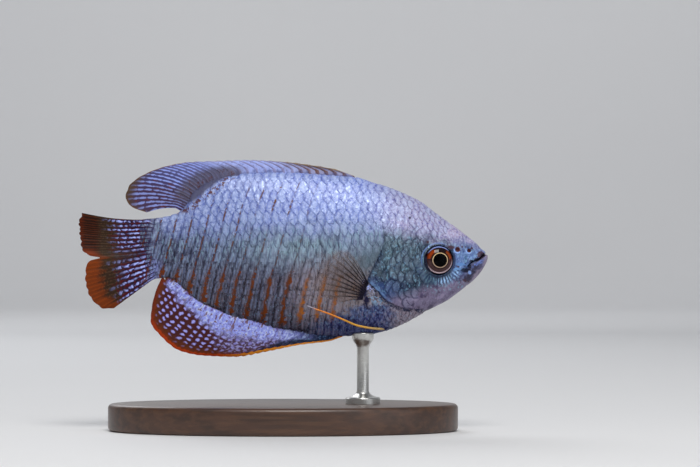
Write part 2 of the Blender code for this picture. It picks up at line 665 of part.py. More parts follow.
def make_stand():
    """An oval base, and one rod with a flange at its foot and a saddle that holds the keel of the belly."""
    bm = bmesh.new()
    bmesh.ops.create_cone(bm, cap_ends=True, segments=48, radius1=0.5, radius2=0.5, depth=BASE_THICKNESS)
    bmesh.ops.scale(bm, vec=(BASE_LENGTH, BASE_WIDTH, 1), verts=bm.verts)
    rims = [edge for edge in bm.edges if abs(edge.verts[0].co.z - edge.verts[1].co.z) < GAP]
    bmesh.ops.bevel(bm, geom=rims, offset=BASE_BEVEL, segments=2, profile=0.5, affect="EDGES", material=-1)
    bmesh.ops.translate(bm, vec=(0, 0, BASE_THICKNESS / 2 - AXIS_HEIGHT), verts=bm.verts)
    base = add_object("stand_base", bm, "wood")
    top = BASE_THICKNESS - AXIS_HEIGHT
    hole = tube("rod_hole", [Vector((ROD_PLACE, 0, top - ROD_HOLE_DEPTH)), Vector((ROD_PLACE, 0, top + 2 * MM))],
                [ROD_RADIUS + GAP] * 2, sides=12)
    combine(base, [hole], "DIFFERENCE")
    shade(base, 30)

    keel = belly(ROD_PLACE)
    outline = [
        (0.0, keel + SADDLE_RISE), (SADDLE_RADIUS, keel + SADDLE_RISE), (SADDLE_RADIUS, keel - 0.5 * MM),
        (ROD_RADIUS, keel - 2.2 * MM), (ROD_RADIUS, top + GAP + 1.6 * FLANGE_THICKNESS),
        (FLANGE_RADIUS, top + GAP + FLANGE_THICKNESS), (FLANGE_RADIUS, top + GAP), (ROD_RADIUS, top + GAP),
        (ROD_RADIUS, top - ROD_HOLE_DEPTH + GAP), (0.0, top - ROD_HOLE_DEPTH + GAP),
    ]
    bm = bmesh.new()
    verts = [bm.verts.new((radius, 0, height)) for radius, height in outline]
    for first, second in zip(verts, verts[1:]):
        bm.edges.new((first, second))
    rod = add_object("stand_rod", bm, "metal")
    rod.location.x = ROD_PLACE
    turned = rod.modifiers.new("turned", "SCREW")
    turned.steps = turned.render_steps = 24
    turned.use_merge_vertices = True
    turned.merge_threshold = 0.00001
    bpy.context.view_layer.update()
    settle(rod)
    combine(rod, [body_form("trim", margin=GAP)], "DIFFERENCE")
    keep_island(rod, Vector((0, 0, top)))
    shade(rod, 30)


def build():
    """Makes every piece of the model."""
    clear_scene()
    make_head()
    make_lower_jaw()
    make_trunk()
    make_median_fin("dorsal_fin", DORSAL_RAYS, DORSAL_RAY_COUNT, 5, back, 1, 0.5 * MM)
    make_median_fin("anal_fin", ANAL_RAYS, ANAL_RAY_COUNT, 6, belly, -1, 0.6 * MM)
    make_tail_fin()
    for side in (-1, 1):
        make_gill_cover(side)
        make_eye(side)
        make_pectoral_fin(side)
        make_feeler(side)
    make_stand()


build()
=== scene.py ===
"""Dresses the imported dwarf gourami: one skin under single scales, glassy eyes, rayed fins and an oval stand.

Shapes are worked out in millimetres from the fish's long axis, which runs level AXIS_HEIGHT above the floor:
+X towards the snout, +Z towards the back, and the fish's right side faces -Y. A piece becomes metres, and takes
its place over the floor, when it is finished.
"""

from __future__ import annotations

import json
import logging
import math
from abc import ABC, abstractmethod
from dataclasses import dataclass
from enum import Enum
from typing import Any, Callable, NamedTuple, Sequence

import bmesh
import bpy
import numpy as np
from mathutils import Matrix, Vector

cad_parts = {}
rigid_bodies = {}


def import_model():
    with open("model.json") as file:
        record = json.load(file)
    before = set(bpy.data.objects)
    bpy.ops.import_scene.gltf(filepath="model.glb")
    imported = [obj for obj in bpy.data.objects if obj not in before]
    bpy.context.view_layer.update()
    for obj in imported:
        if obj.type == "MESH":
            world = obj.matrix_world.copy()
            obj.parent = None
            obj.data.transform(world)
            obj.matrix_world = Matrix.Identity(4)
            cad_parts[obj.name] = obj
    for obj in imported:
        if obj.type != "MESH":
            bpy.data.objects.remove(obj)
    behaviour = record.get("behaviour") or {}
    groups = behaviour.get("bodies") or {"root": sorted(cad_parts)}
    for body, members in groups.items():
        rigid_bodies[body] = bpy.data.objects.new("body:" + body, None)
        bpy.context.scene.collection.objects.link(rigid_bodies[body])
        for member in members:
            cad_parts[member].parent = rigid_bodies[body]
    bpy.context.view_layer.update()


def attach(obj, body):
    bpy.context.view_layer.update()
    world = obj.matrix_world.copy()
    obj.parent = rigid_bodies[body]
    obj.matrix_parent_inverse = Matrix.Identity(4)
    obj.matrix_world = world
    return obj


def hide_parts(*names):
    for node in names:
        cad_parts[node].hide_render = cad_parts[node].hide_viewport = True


LOG = logging.getLogger("gourami")
MM = 0.001
AXIS_HEIGHT = 32.0

Table = Sequence[tuple[float, ...]]
Colour = int | Sequence[float]  # screen levels such as 0x8EA0E4, or linear shares
Array, Shape = np.ndarray, bmesh.types.BMesh
Material, Object, Socket = bpy.types.Material, bpy.types.Object, bpy.types.NodeSocket


class Side(Enum):
    """The two sides of the fish; the number is the sign of Y there."""

    RIGHT = -1
    LEFT = 1

    @property
    def word(self) -> str:
        """The side's name as the nodes spell it."""
        return self.name.lower()


class Profile:
    """A smooth function through (place, value) points that never overshoots between two of them."""

    def __init__(self, points: Table) -> None:
        """Works out the slope at each point.

        Args:
            points: pairs of place and value, by rising place.
        """
        self.places, self.values = np.array(points, float).T
        rises = np.diff(self.values) / np.diff(self.places)
        before, after = rises[:-1], rises[1:]
        with np.errstate(divide="ignore", invalid="ignore"):
            inner = np.where(before * after <= 0, 0.0, 2 * before * after / (before + after))
        self.slopes = np.concatenate([rises[:1], inner, rises[-1:]])

    def __call__(self, place: Array | float) -> Array:
        """The value at each place; beyond the ends it is that of the end.

        Args:
            place: where to read the function.

        Returns:
            One value for each place.
        """
        place = np.clip(np.asarray(place, float), self.places[0], self.places[-1])
        i = np.clip(np.searchsorted(self.places, place, side="right") - 1, 0, len(self.places) - 2)
        span = self.places[i + 1] - self.places[i]
        t = (place - self.places[i]) / span
        return (self.values[i] * (1 + 2 * t) * (1 - t) ** 2 + self.values[i + 1] * t * t * (3 - 2 * t)
                + span * self.slopes[i] * t * (1 - t) ** 2 - span * self.slopes[i + 1] * t * t * (1 - t))


def curves(rows: Table) -> list[Profile]:
    """A function of the rows' first number for each of their further numbers."""
    return [Profile([(row[0], row[k]) for row in rows]) for k in range(1, len(rows[0]))]


def joined(*numbers: Array) -> Array:
    """Points, from the arrays of their coordinates."""
    return np.stack(numbers, axis=-1)


def unit(ways: Array) -> Array:
    """The same ways with a length of one."""
    return ways / np.maximum(np.linalg.norm(ways, axis=-1, keepdims=True), 1e-9)


class Course:
    """A smooth line drawn on the side view."""

    def __init__(self, points: Table, steps: int = 4) -> None:
        """Eases the line through its points.

        Args:
            points: (along, height) places that the line passes.
            steps: pieces between two of them.
        """
        span = len(points) - 1
        marks = np.linspace(0, span, span * steps + 1)
        self.dots = joined(*(curve(marks) for curve in curves([(i, *point) for i, point in enumerate(points)])))

    def measure(self, x: Array, z: Array) -> tuple[Array, Array]:
        """How far places of the side view lie from the line.

        Args:
            x: places along the fish.
            z: their heights.

        Returns:
            The distance, positive to the left of the line's way, and the share of the line that lies nearest.
        """
        place = joined(x, z)
        best, signed, share = np.full(len(x), np.inf), np.zeros(len(x)), np.zeros(len(x))
        for i, (start, end) in enumerate(zip(self.dots, self.dots[1:])):
            way = end - start
            along = np.clip(((place - start) @ way) / (way @ way), 0, 1)
            gap = place - start - along[:, None] * way
            far = np.hypot(gap[:, 0], gap[:, 1])
            cross = way[0] * (place[:, 1] - start[1]) - way[1] * (place[:, 0] - start[0])
            closer = far < best
            best = np.where(closer, far, best)
            signed = np.where(closer, np.copysign(far, cross), signed)
            share = np.where(closer, (i + along) / (len(self.dots) - 1), share)
        return signed, share


def smooth(value: Array | float, low: float, high: float) -> Array:
    """Zero at low, one at high and a smooth rise between, also where low lies above high."""
    share = np.clip((np.asarray(value, float) - low) / (high - low), 0.0, 1.0)
    return share * share * (3 - 2 * share)


def bell(value: Array, width: float) -> Array:
    """One where the value is zero, and fading over the width."""
    return np.exp(-(value / width) ** 2)


def linear(colour: Colour) -> Sequence[float]:
    """The linear shares of a screen colour; shares stay as they are."""
    if not isinstance(colour, int):
        return colour
    levels = [(colour >> shift & 255) / 255 for shift in (16, 8, 0)]
    return [level / 12.92 if level <= 0.04045 else ((level + 0.055) / 1.055) ** 2.4 for level in levels]


class FishForm:
    """The fish's outlines, and the surface that is lofted through them."""

    BACK = [
        (-26.2, 6.6), (-24.6, 6.85), (-23.2, 7), (-21, 7.4), (-19.4, 8), (-18.2, 9.2), (-16.9, 11.2),
        (-15.4, 12.9), (-12.9, 14.2), (-8.9, 15), (-3.8, 15.4), (1.2, 15.4), (6.2, 15.1), (13.2, 14.5),
        (17.4, 13.3), (21.5, 11.8), (25.4, 9.9), (28, 7.9), (31.2, 5.55), (33.9, 3.45), (35.5, 2.15),
        (36.15, 1.4), (36.6, 1.05), (37, 0.62), (37.3, 0.1), (37.45, -0.4),
    ]
    BELLY = [
        (-26.2, -5.7), (-24.6, -4.8), (-23.2, -4.2), (-21.4, -4.2), (-19.6, -5), (-17.3, -7.3), (-15, -9),
        (-12.2, -10.3), (-9.4, -11.3), (-5.2, -12.4), (-2, -13.3), (2, -14.1), (6, -14.6), (10.5, -14.8),
        (14.2, -14.6), (17.4, -14.2), (21, -13), (24.5, -11.2), (26.4, -10), (28, -9.2), (30.1, -8.1),
        (31.6, -7), (33.8, -5.3), (35, -4.3), (36.2, -2.9), (37, -1.6), (37.35, -0.8), (37.45, -0.4),
    ]
    HALF_WIDTH = [
        (-26.2, 0.02), (-24.6, 0.2), (-23.2, 0.5), (-22, 0.9), (-19.6, 1.5), (-15, 2.2), (-9, 3.2),
        (-1, 4.2), (8, 4.8), (16, 5), (21, 4.9), (25, 4.5), (28.3, 3.9), (31.2, 3.2), (33.6, 2.45),
        (35.6, 1.75), (36.7, 1.2), (37.25, 0.7), (37.45, 0),
    ]
    WIDEST = [(-23.2, 0.5), (0, 0.5), (14, 0.5), (24, 0.48), (33, 0.45), (37.6, 0.5)]
    BACK_SHARPNESS = [(-23.2, 0.4), (-14, 0.62), (10, 0.62), (26, 0.52), (37.6, 0.46)]
    BELLY_SHARPNESS = [(-23.2, 0.4), (-14, 0.8), (0, 0.78), (12, 0.6), (22, 0.5), (37.6, 0.46)]
    GILL_LINE = [
        (15.4, 18), (16.4, 13), (17.6, 7.5), (18.4, 2.7), (17.5, 0.4), (15.9, -2.9), (15.4, -4.3),
        (17, -6.2), (18.7, -8.15), (21, -9.3), (22.8, -9.75), (25.4, -10), (27.2, -10.6), (29, -13),
    ]
    MOUTH_LINE = [(39, 1.2), (37.3, 0.45), (36.6, 0.1), (36, -0.4), (35.2, -0.85), (34.4, -1.2), (33.8, -1.8),
                  (33.2, -2.7)]
    GILL_RISE = 0.4
    EYE = (28.35, -0.75)
    EYE_RADIUS = 2.65
    EYE_DEPTH = 1.55
    EYE_SINK = 0.75
    EYE_TURN = math.radians(12)
    TAIL_END = -26.2  # the skin runs on over the roots of the tail's rays
    SNOUT_END = 37.45
    ROW_ZERO = 1.2  # height at which the arc along a section starts to count
    STATION_STEP = 0.2
    ARC_REACH = 24.0
    ARC_STEP = 0.1

    def __init__(self) -> None:
        """Prepares the outlines, and a table that turns an arc along a section into its turn."""
        (self.back, self.belly, self.half_width, self.widest,
         self.back_sharpness, self.belly_sharpness) = map(Profile, (
             self.BACK, self.BELLY, self.HALF_WIDTH, self.WIDEST, self.BACK_SHARPNESS, self.BELLY_SHARPNESS))
        self.gill, self.mouth = Course(self.GILL_LINE), Course(self.MOUTH_LINE)
        self.stations = np.arange(self.TAIL_END, self.SNOUT_END - 0.1, self.STATION_STEP)
        arcs = np.arange(-self.ARC_REACH, self.ARC_REACH, self.ARC_STEP)
        turns = np.linspace(-math.pi / 2, math.pi / 2, 241)
        table, self.lowest, self.highest = [], [], []
        for station in self.stations:
            ring = self.section(np.full(len(turns), station), turns)
            arc = np.concatenate([[0.0], np.cumsum(np.linalg.norm(np.diff(ring, axis=0), axis=1))])
            arc -= np.interp(self.ROW_ZERO, ring[:, 2], arc)
            table.append(np.interp(arcs, arc, turns))
            self.lowest.append(arc[0])
            self.highest.append(arc[-1])
        self.turns = np.array(table)

    def middle(self, x: Array) -> tuple[Array, Array, Array]:
        """Height of the belly, of the widest place and of the back at places along the fish."""
        low, high = self.belly(x), self.back(x)
        return low, low + (high - low) * self.widest(x), high

    def sharpness(self, x: Array, upper: Array) -> Array:
        """How pointed the section's upper or lower half is."""
        return np.where(upper, self.back_sharpness(x), self.belly_sharpness(x))

    def section(self, x: Array, turn: Array) -> Array:
        """Places of the plain loft: turn is 0 on the left flank and a quarter turn on the back.

        Args:
            x: places along the fish.
            turn: angles round its section.

        Returns:
            One point for each pair.
        """
        low, middle, high = self.middle(x)
        up, out = np.sin(turn), np.cos(turn)
        height = middle + up * np.where(up > 0, high - middle, middle - low)
        half = self.half_width(x) * np.abs(out) ** (2 * self.sharpness(x, up > 0))
        return joined(np.clip(x, self.TAIL_END, self.SNOUT_END), np.copysign(half, out), height)

    def outward(self, x: Array, turn: Array) -> Array:
        """The loft's outward direction at each place."""
        step = 0.02
        ahead = self.section(np.minimum(x + step, self.SNOUT_END - 0.01), turn)
        behind = self.section(np.minimum(x, self.SNOUT_END - 0.03) - step, turn)
        upper, lower = self.section(x, turn + step), self.section(x, turn - step)
        return unit(np.cross(upper - lower, ahead - behind))

    def bulge(self, x: Array, z: Array) -> Array:
        """How far the gill cover lifts the surface at places of the side view."""
        far = ((x - 19.6) / 7.5) ** 2 + ((z + 2.6) / 9.5) ** 2
        return self.GILL_RISE * np.sqrt(np.maximum(0.0, 1 - far))

    def flank(self, x: Array, z: Array) -> Array:
        """Half the plain loft's thickness at places of the side view."""
        low, middle, high = self.middle(x)
        reach = np.where(z > middle, high - middle, middle - low)
        share = np.minimum(1.0, np.abs(z - middle) / np.maximum(reach, 1e-6))
        return self.half_width(x) * (1 - share * share) ** self.sharpness(x, z > middle)

    def turn_at(self, x: Array, arc: Array) -> Array:
        """The turn that lies an arc's length from the row line, over the ridge where the arc is longer.

        Args:
            x: places along the fish.
            arc: lengths along the section, positive upwards.

        Returns:
            One turn for each pair.
        """
        spot = np.clip((x - self.stations[0]) / self.STATION_STEP, 0, len(self.stations) - 1.001)
        i, share = spot.astype(int), spot - spot.astype(int)
        low, high = np.interp(x, self.stations, self.lowest), np.interp(x, self.stations, self.highest)
        folded = np.where(arc > high, 2 * high - arc, np.where(arc < low, 2 * low - arc, arc))
        mark = np.clip((folded + self.ARC_REACH) / self.ARC_STEP, 0, self.turns.shape[1] - 1.001)
        k, part = mark.astype(int), mark - mark.astype(int)
        first, second = (self.turns[j, k] * (1 - part) + self.turns[j, k + 1] * part for j in (i, i + 1))
        turn = first * (1 - share) + second * share
        return np.where(arc > high, math.pi - turn, np.where(arc < low, -math.pi - turn, turn))

    def height(self, x: Array, arc: Array) -> Array:
        """The height of the place an arc's length from the row line."""
        return self.section(x, self.turn_at(x, arc))[..., 2]

    def eye_middle(self, side: Side) -> Array:
        """The middle of one eyeball."""
        x, z = self.EYE
        out = float(self.flank(x, z) + self.bulge(x, z)) - self.EYE_SINK
        return np.array([x, side.value * out, z])

    def eye_axis(self, side: Side) -> Array:
        """The way one eye looks: outwards and a little ahead."""
        return np.array([math.sin(self.EYE_TURN), side.value * math.cos(self.EYE_TURN), 0.0])

    def eye_distance(self, points: Array) -> Array:
        """How far points lie from the axis of the eye on their own side."""
        far = np.full(len(points), 99.0)
        for side in Side:
            offset, axis = points - self.eye_middle(side), self.eye_axis(side)
            beside = offset - (offset @ axis)[:, None] * axis
            far = np.where(points[:, 1] * side.value > 0, np.linalg.norm(beside, axis=1), far)
        return far


class Lattice:
    """How the scales lie: slanting columns of rows, which the rust bars follow."""

    COLUMNS = [
        (-16, 31.6), (-14, 30.1), (-12, 28.3), (-10, 26.2), (-8, 23.9), (-6, 21.4), (-4, 18.7), (-2, 15.9),
        (0, 13), (2, 10.3), (4, 7.2), (6, 3.9), (8, 0.4), (10, -2.7), (12, -5.6), (14, -8.4), (16, -11.2),
        (18, -14.1), (20, -17), (22, -19.9), (24, -22.6), (26, -24.9), (27, -25.9),
    ]
    LEAN = [(-16, -4.6), (-12, -4.2), (-8, -3.5), (-4, -2.6), (0, -1.4), (5, 0), (8, 0.7), (10, 1.3), (13, 2.5),
            (16, 3.6)]
    ROW_PITCH = [(-26.2, 1.1), (-23.2, 1.3), (-19, 1.5), (-14, 1.8), (-9, 1.98), (18, 1.98), (24, 1.7),
                 (28, 1.4), (31, 1.1), (34, 0.9)]
    COLUMN_PITCH = [(-26, 1), (-22, 1.35), (-10, 1.42), (0, 1.6), (13, 1.5), (20, 1.36), (26, 1.1), (31, 0.8)]
    FRONT = [(-12, 25.5), (-9.6, 25), (-7.5, 25.2), (-5, 26.4), (-3.8, 27), (3.2, 27.6), (4, 30.2), (6, 31),
             (12, 30)]

    def __init__(self, form: FishForm) -> None:
        """Prepares the lattice's lines.

        Args:
            form: the surface that the scales lie on.
        """
        self.form = form
        self.place, self.lean, self.row_pitch, self.column_pitch, self.front = map(Profile, (
            self.COLUMNS, self.LEAN, self.ROW_PITCH, self.COLUMN_PITCH, self.FRONT))
        self.numbers = np.linspace(-16, 27, 431)
        self.numbered = self.place(self.numbers)

    def column(self, x: Array, z: Array) -> Array:
        """The number of the column that passes each place of the side view, with its fraction."""
        return np.interp(-(x - self.lean(z)), -self.numbered, self.numbers)

    def cover(self, x: Array, z: Array) -> Array:
        """Where scales lie: one on the trunk, nape and cheek, fading out before the snout and round the eye."""
        eye = np.hypot(x - self.form.EYE[0], z - self.form.EYE[1])
        return smooth(self.front(z) - x, -0.3, 0.9) * smooth(eye, 3.0, 3.6)

    def sink(self, x: Array) -> Array:
        """How far the skin lies under the scales' free edges, less where the body thins out into the tail."""
        return 0.22 * smooth(x, -26.8, -20.0) * (1 - 0.3 * smooth(x, 14.0, 19.0))

    def slant(self, x: Array, z: Array) -> Array:
        """How far a scale's edge follows its column: not on the back, wholly low on the flank and stem."""
        return np.maximum(smooth(z, 5.5, 1.5), smooth(x, -14.0, -19.0)) * smooth(x, 16.0, 10.0)


def maths(operation: str, swapped: bool = False) -> Callable[..., Value]:
    """A method that makes one Math node of its number and another.

    Args:
        operation: the node's operation.
        swapped: whether the other number comes first.

    Returns:
        The method.
    """

    def method(self: Value, *others: Any) -> Value:
        """The operation's result."""
        return self.nodes.math(operation, *((*others, self) if swapped else (self, *others)))

    return method


class Value:
    """One number of a shader, with Python's operators for its maths."""

    __add__ = __radd__ = maths("ADD")
    __sub__, __rsub__ = maths("SUBTRACT"), maths("SUBTRACT", swapped=True)
    __mul__ = __rmul__ = maths("MULTIPLY")
    __truediv__, __pow__, __abs__ = maths("DIVIDE"), maths("POWER"), maths("ABSOLUTE")
    least, most, fraction = maths("MINIMUM"), maths("MAXIMUM"), maths("FRACT")

    def __init__(self, nodes: Nodes, socket: Socket) -> None:
        """Wraps the socket that gives the number."""
        self.nodes, self.socket = nodes, socket

    def wave(self) -> Value:
        """Zero to one and back with each whole step of the number, one halfway."""
        return 0.5 - 0.5 * self.nodes.math("COSINE", self * (2 * math.pi))

    def step(self, low: float, high: float) -> Value:
        """Zero at low, one at high and a smooth rise between, also where low lies above high."""
        made = self.nodes.make("ShaderNodeMapRange", {"interpolation_type": "SMOOTHSTEP"},
                               {0: self, 1: low, 2: high})
        return Value(self.nodes, made.outputs[0])

    def near(self, place: float, width: float) -> Value:
        """One at the place, and fading to zero a width away."""
        return abs(self - place).step(width, 0.0)


class Nodes:
    """The node tree of one material."""

    def __init__(self, material: Material) -> None:
        """Takes up the material's tree and its shader."""
        material.use_nodes = True
        self.tree = material.node_tree
        self.shader = self.tree.nodes["Principled BSDF"]

    def make(self, kind: str, settings: dict[str, Any], inputs: dict[int | str, Any]) -> bpy.types.Node:
        """Adds a node.

        Args:
            kind: its Blender type.
            settings: its own settings.
            inputs: values or links of its sockets, by number or name.

        Returns:
            The node.
        """
        node = self.tree.nodes.new(kind)
        for name, setting in settings.items():
            setattr(node, name, setting)
        for key, value in inputs.items():
            socket = node.inputs[key]
            value = value.socket if isinstance(value, Value) else value
            if isinstance(value, Socket):
                self.tree.links.new(value, socket)
            else:
                socket.default_value = (*linear(value), 1.0) if socket.type == "RGBA" else value
        return node

    def math(self, operation: str, *values: Any) -> Value:
        """One Math node on values or plain numbers."""
        made = self.make("ShaderNodeMath", {"operation": operation}, dict(enumerate(values)))
        return Value(self, made.outputs[0])

    def place(self) -> Socket:
        """The object's own coordinates in millimetres from the fish's axis."""
        source = self.make("ShaderNodeTexCoord", {}, {})
        moved = self.make("ShaderNodeMapping", {"vector_type": "POINT"},
                          {0: source.outputs["Object"], 1: (0, 0, -AXIS_HEIGHT), 3: (1 / MM,) * 3})
        return moved.outputs[0]

    def attribute(self, name: str) -> Socket:
        """The piece's own vector attribute of that name."""
        return self.make("ShaderNodeAttribute", {"attribute_name": name}, {}).outputs["Vector"]

    def split(self, vector: Socket) -> list[Value]:
        """The three numbers of a vector."""
        return [Value(self, output) for output in self.make("ShaderNodeSeparateXYZ", {}, {0: vector}).outputs]

    def join(self, *values: Any) -> Socket:
        """Three numbers as a vector."""
        return self.make("ShaderNodeCombineXYZ", {}, dict(enumerate(values))).outputs[0]

    def noise(self, vector: Socket, scale: float | tuple[float, ...], detail: float = 2) -> Value:
        """Soft random clouds from about -0.5 to 0.5.

        Args:
            vector: where they lie.
            scale: how fine they are, or how fine in each direction.
            detail: how many finer layers they have.

        Returns:
            The clouds' height.
        """
        if isinstance(scale, tuple):
            vector = self.make("ShaderNodeMapping", {"vector_type": "POINT"}, {0: vector, 3: scale}).outputs[0]
            scale = 1
        made = self.make("ShaderNodeTexNoise", {}, {"Vector": vector, "Scale": scale, "Detail": detail})
        return Value(self, made.outputs[0]) - 0.5

    def blend(self, share: Any, under: Any, over: Any, mode: str = "MIX") -> Socket:
        """One colour laid over another.

        Args:
            share: how much of it covers.
            under: the colour below.
            over: the colour on top.
            mode: how the two combine.

        Returns:
            The colour that results.
        """
        settings = {"data_type": "RGBA", "blend_type": mode}
        return self.make("ShaderNodeMix", settings, {0: share, 6: under, 7: over}).outputs[2]

    def chance(self, number: Value) -> Value:
        """A random share of its own for each whole number."""
        return (self.math("SINE", self.math("FLOOR", number) * 12.9) * 43.7).fraction()

    def bump(self, height: Value, depth: float) -> None:
        """Gives the shader a relief of that depth in millimetres."""
        self.feed("Normal", self.make("ShaderNodeBump", {}, {
            "Strength": 1.0, "Distance": depth * MM, "Height": height}).outputs[0])

    def feed(self, name: str, value: Any) -> None:
        """Links a value or colour to the shader's socket of that name."""
        self.tree.links.new(value.socket if isinstance(value, Value) else value, self.shader.inputs[name])


class Paint:
    """A colour that is laid on in coats."""

    def __init__(self, nodes: Nodes, ground: Any) -> None:
        """Starts with the ground colour."""
        self.nodes, self.colour = nodes, ground

    def __call__(self, share: Any, colour: Any, mode: str = "MIX") -> None:
        """Lays one more colour over what is there, as thick as the share says."""
        self.colour = self.nodes.blend(share, self.colour, colour, mode)

    def dim(self, share: Any, colour: Any) -> None:
        """Darkens what is there with a glaze of the colour."""
        self(share, colour, "MULTIPLY")


@dataclass(frozen=True)
class Finish(ABC):
    """A surface's look: constants of the shader, and what a subclass paints over them."""

    name: str
    ground: Colour = 0x808080
    roughness: float = 0.4
    metallic: float = 0.0
    coat_weight: float = 0.0
    coat_roughness: float = 0.1
    specular: float = 0.5

    def make(self) -> Material:
        """The finished material."""
        material = bpy.data.materials.new(self.name)
        nodes = Nodes(material)
        for socket, value in (("Roughness", self.roughness), ("Metallic", self.metallic),
                              ("Coat Weight", self.coat_weight), ("Coat Roughness", self.coat_roughness),
                              ("Specular IOR Level", self.specular)):
            nodes.shader.inputs[socket].default_value = value
        paint = Paint(nodes, self.ground)
        self.lay(nodes, paint)
        nodes.feed("Base Color", paint.colour)
        return material

    @abstractmethod
    def lay(self, nodes: Nodes, paint: Paint) -> None:
        """Adds what varies over the surface."""


@dataclass(frozen=True)
class FleshFinish(Finish):
    """Powder-blue fish skin with rust bars, for the skin and every scale on it."""

    ground: Colour = 0x7A8AA4
    back: Colour = 0x8EA0E4
    back_rear: Colour = 0x7A8CCC
    middle_rear: Colour = 0x4E5674
    low: Colour = 0x3E3644
    low_front: Colour = 0x9C8D8E
    crown: Colour = 0xA8A0C6
    cheek: Colour = 0x233950
    throat: Colour = 0x7E7492
    indigo: Colour = 0x282E70
    rust: Colour = 0x6C2A00
    amber: Colour = 0xC4701A
    ink: Colour = 0x10142C
    # glint: painted highlights, bright flecks and bands that stand in for light glancing off the scales
    glint: Colour = 0xCEDCFF

    def lay(self, nodes: Nodes, paint: Paint) -> None:
        """Lays the colour zones with painted light and shade from above, painted glints, the bars, the face's
        marks and each scale's own tone with its painted shading and highlights.
        """
        place = nodes.place()
        x, _, z = nodes.split(place)
        column, gill, mouth = nodes.split(nodes.attribute("lie"))
        scale = nodes.split(nodes.attribute("scale"))
        mottle, grain = nodes.noise(place, 0.6, 3), nodes.noise(place, 4.4, 2)
        fleck = nodes.noise(place, (2.6, 1.8, 1.9), 3)
        streak = nodes.noise(place, (3.8, 1.4, 0.9), 3)
        level = z + 5 * mottle + 1.5 * fleck
        # upper is the bright back and lower the dark lower flank: partly the fish's own colours, partly painted
        # light and shade as if lit from above
        upper, lower = level.step(1.5, 9), level.step(2, -5.5)
        head = gill.step(-0.15, 0.25) * (z + 3 * mottle).step(6.6, 2.4)
        crown = (z + (x - 18) * 0.2 - 4.6 + 3.5 * mottle).step(-1.8, 2.6)
        self.trunk_zones(paint, x, z, upper, lower, mottle, fleck)
        self.head_zones(paint, x, z, head, crown, mottle)
        pale = upper.most(crown * x.step(16, 22))
        dull = 1 - pale
        # Painted glints and sparkle: bright flecks that stand in for light glancing off the scales, strongest
        # on the back.
        paint(fleck.step(0, 0.16) * (0.1 + 0.38 * pale) * (1 - 0.6 * lower), self.glint)
        paint.dim((fleck + 0.4 * grain).step(-0.02, -0.16) * (0.15 + 0.4 * pale), 0x7084DC)
        paint(grain.step(0.06, 0.2) * (0.1 + 0.22 * pale), 0xE0E2FA)
        paint(streak.step(0.02, 0.12) * dull * (0.6 - 0.3 * lower - 0.3 * head),
              nodes.blend(lower, 0x92B6C8, 0x7A86AC))
        paint.dim(streak.step(-0.02, -0.14) * (1 - 0.75 * pale - 0.4 * lower) * 0.6, 0x686A8A)
        paint((streak - 0.6 * grain).step(0.1, 0.2) * lower * (1 - head) * 0.28, 0x966C58)
        paint.dim((streak + fleck).step(-0.04, -0.2) * lower * (1 - head) * 0.55, 0x545070)
        paint((fleck + grain).step(0.14, 0.26) * z.step(-4, -8) * (1 - head) * 0.6, 0x74A0BE)
        # Painted glints on the cheek.
        paint(head * dull * fleck.step(0.04, 0.16) * z.step(-7.5, -5.5) * 0.55, 0x7EB2CE)
        paint.dim(head * dull * mottle.step(-0.04, -0.18) * 0.6, 0x5A6CA0)
        self.scale_shading(paint, scale, pale, lower, head, column, streak)
        fine = nodes.noise(place, 1.9, 2)
        bar = self.bars(paint, x, z, column, head, nodes.noise(place, 0.9, 2), fine, scale)
        self.ridge_marks(paint, x, z, mottle, fine)
        self.gill_marks(paint, x, z, gill, fine, grain)
        self.face_marks(paint, nodes, place, x, z, mouth, head)
        nodes.feed("Roughness", 0.44 + 0.4 * grain)
        nodes.feed("Metallic", 0.06 + 0.45 * fleck.step(0.04, 0.2) * (1 - bar))
        nodes.feed("Coat Weight", (0.04 + 0.14 * pale) * (1 - bar))
        nodes.bump(grain + 0.6 * fleck + 0.6 * streak, 0.055)

    def trunk_zones(self, paint: Paint, x: Value, z: Value, upper: Value, lower: Value, mottle: Value,
                    fleck: Value) -> None:
        """Blue back, green-silver middle, mauve lower flank, mauve-grey breast and indigo keel; the bright back
        and the dark lower flank are partly painted light and shade from above.
        """
        paint((x + 4 * mottle).step(4, -18), self.middle_rear)
        tail = (x + 3 * mottle + 2 * fleck).step(-21.4, -23.4)
        paint((x + 3 * mottle).step(-13, -20) * 0.85, 0x363650)
        paint((z + 4 * mottle).near(1.5, 5) * (x + 8 * mottle).near(2, 16) * 0.5, 0x708C8C)
        # Painted light and shade: the back's bright blue and the lower flank's dark mauve are partly lit and
        # shaded versions of the fish's colours.
        paint(upper, self.back)
        paint(upper * (x + 4 * mottle).step(8, -16), self.back_rear)
        paint(upper * (x + 3 * mottle).step(-16, -23) * 0.6, 0x606492)
        paint(lower, self.low)
        paint(tail * 0.85, 0x464268)
        paint(tail * (z + 3 * mottle).step(-0.5, -2) * fleck.step(-0.1, 0.08) * 0.8, 0x8E96E2)
        paint(lower * (x + 4 * mottle).step(-1, 7) * z.step(-12.8, -10) * 0.9, self.low_front)
        paint((x + 3 * mottle).step(15, 18.5) * z.step(-8, -9.6), 0x948694)
        paint(fleck.step(0, 0.14) * x.step(15.5, 19) * z.step(-8.5, -9.6) * 0.7, 0x9E8C9C)
        keel = z + 8.9 - 0.34 * (x - 15).least(0) + 4 * mottle
        blue = keel.step(0.5, -0.7) * x.step(3.5, 7.5) * (x + 5 * mottle).step(21, 17.5)
        paint(blue, paint.nodes.blend(fleck.step(-0.1, 0.12), 0x2C366C, 0x465C92))
        paint(blue * (keel + 3 * fleck).step(-0.6, -2.4) * 0.9, self.indigo)

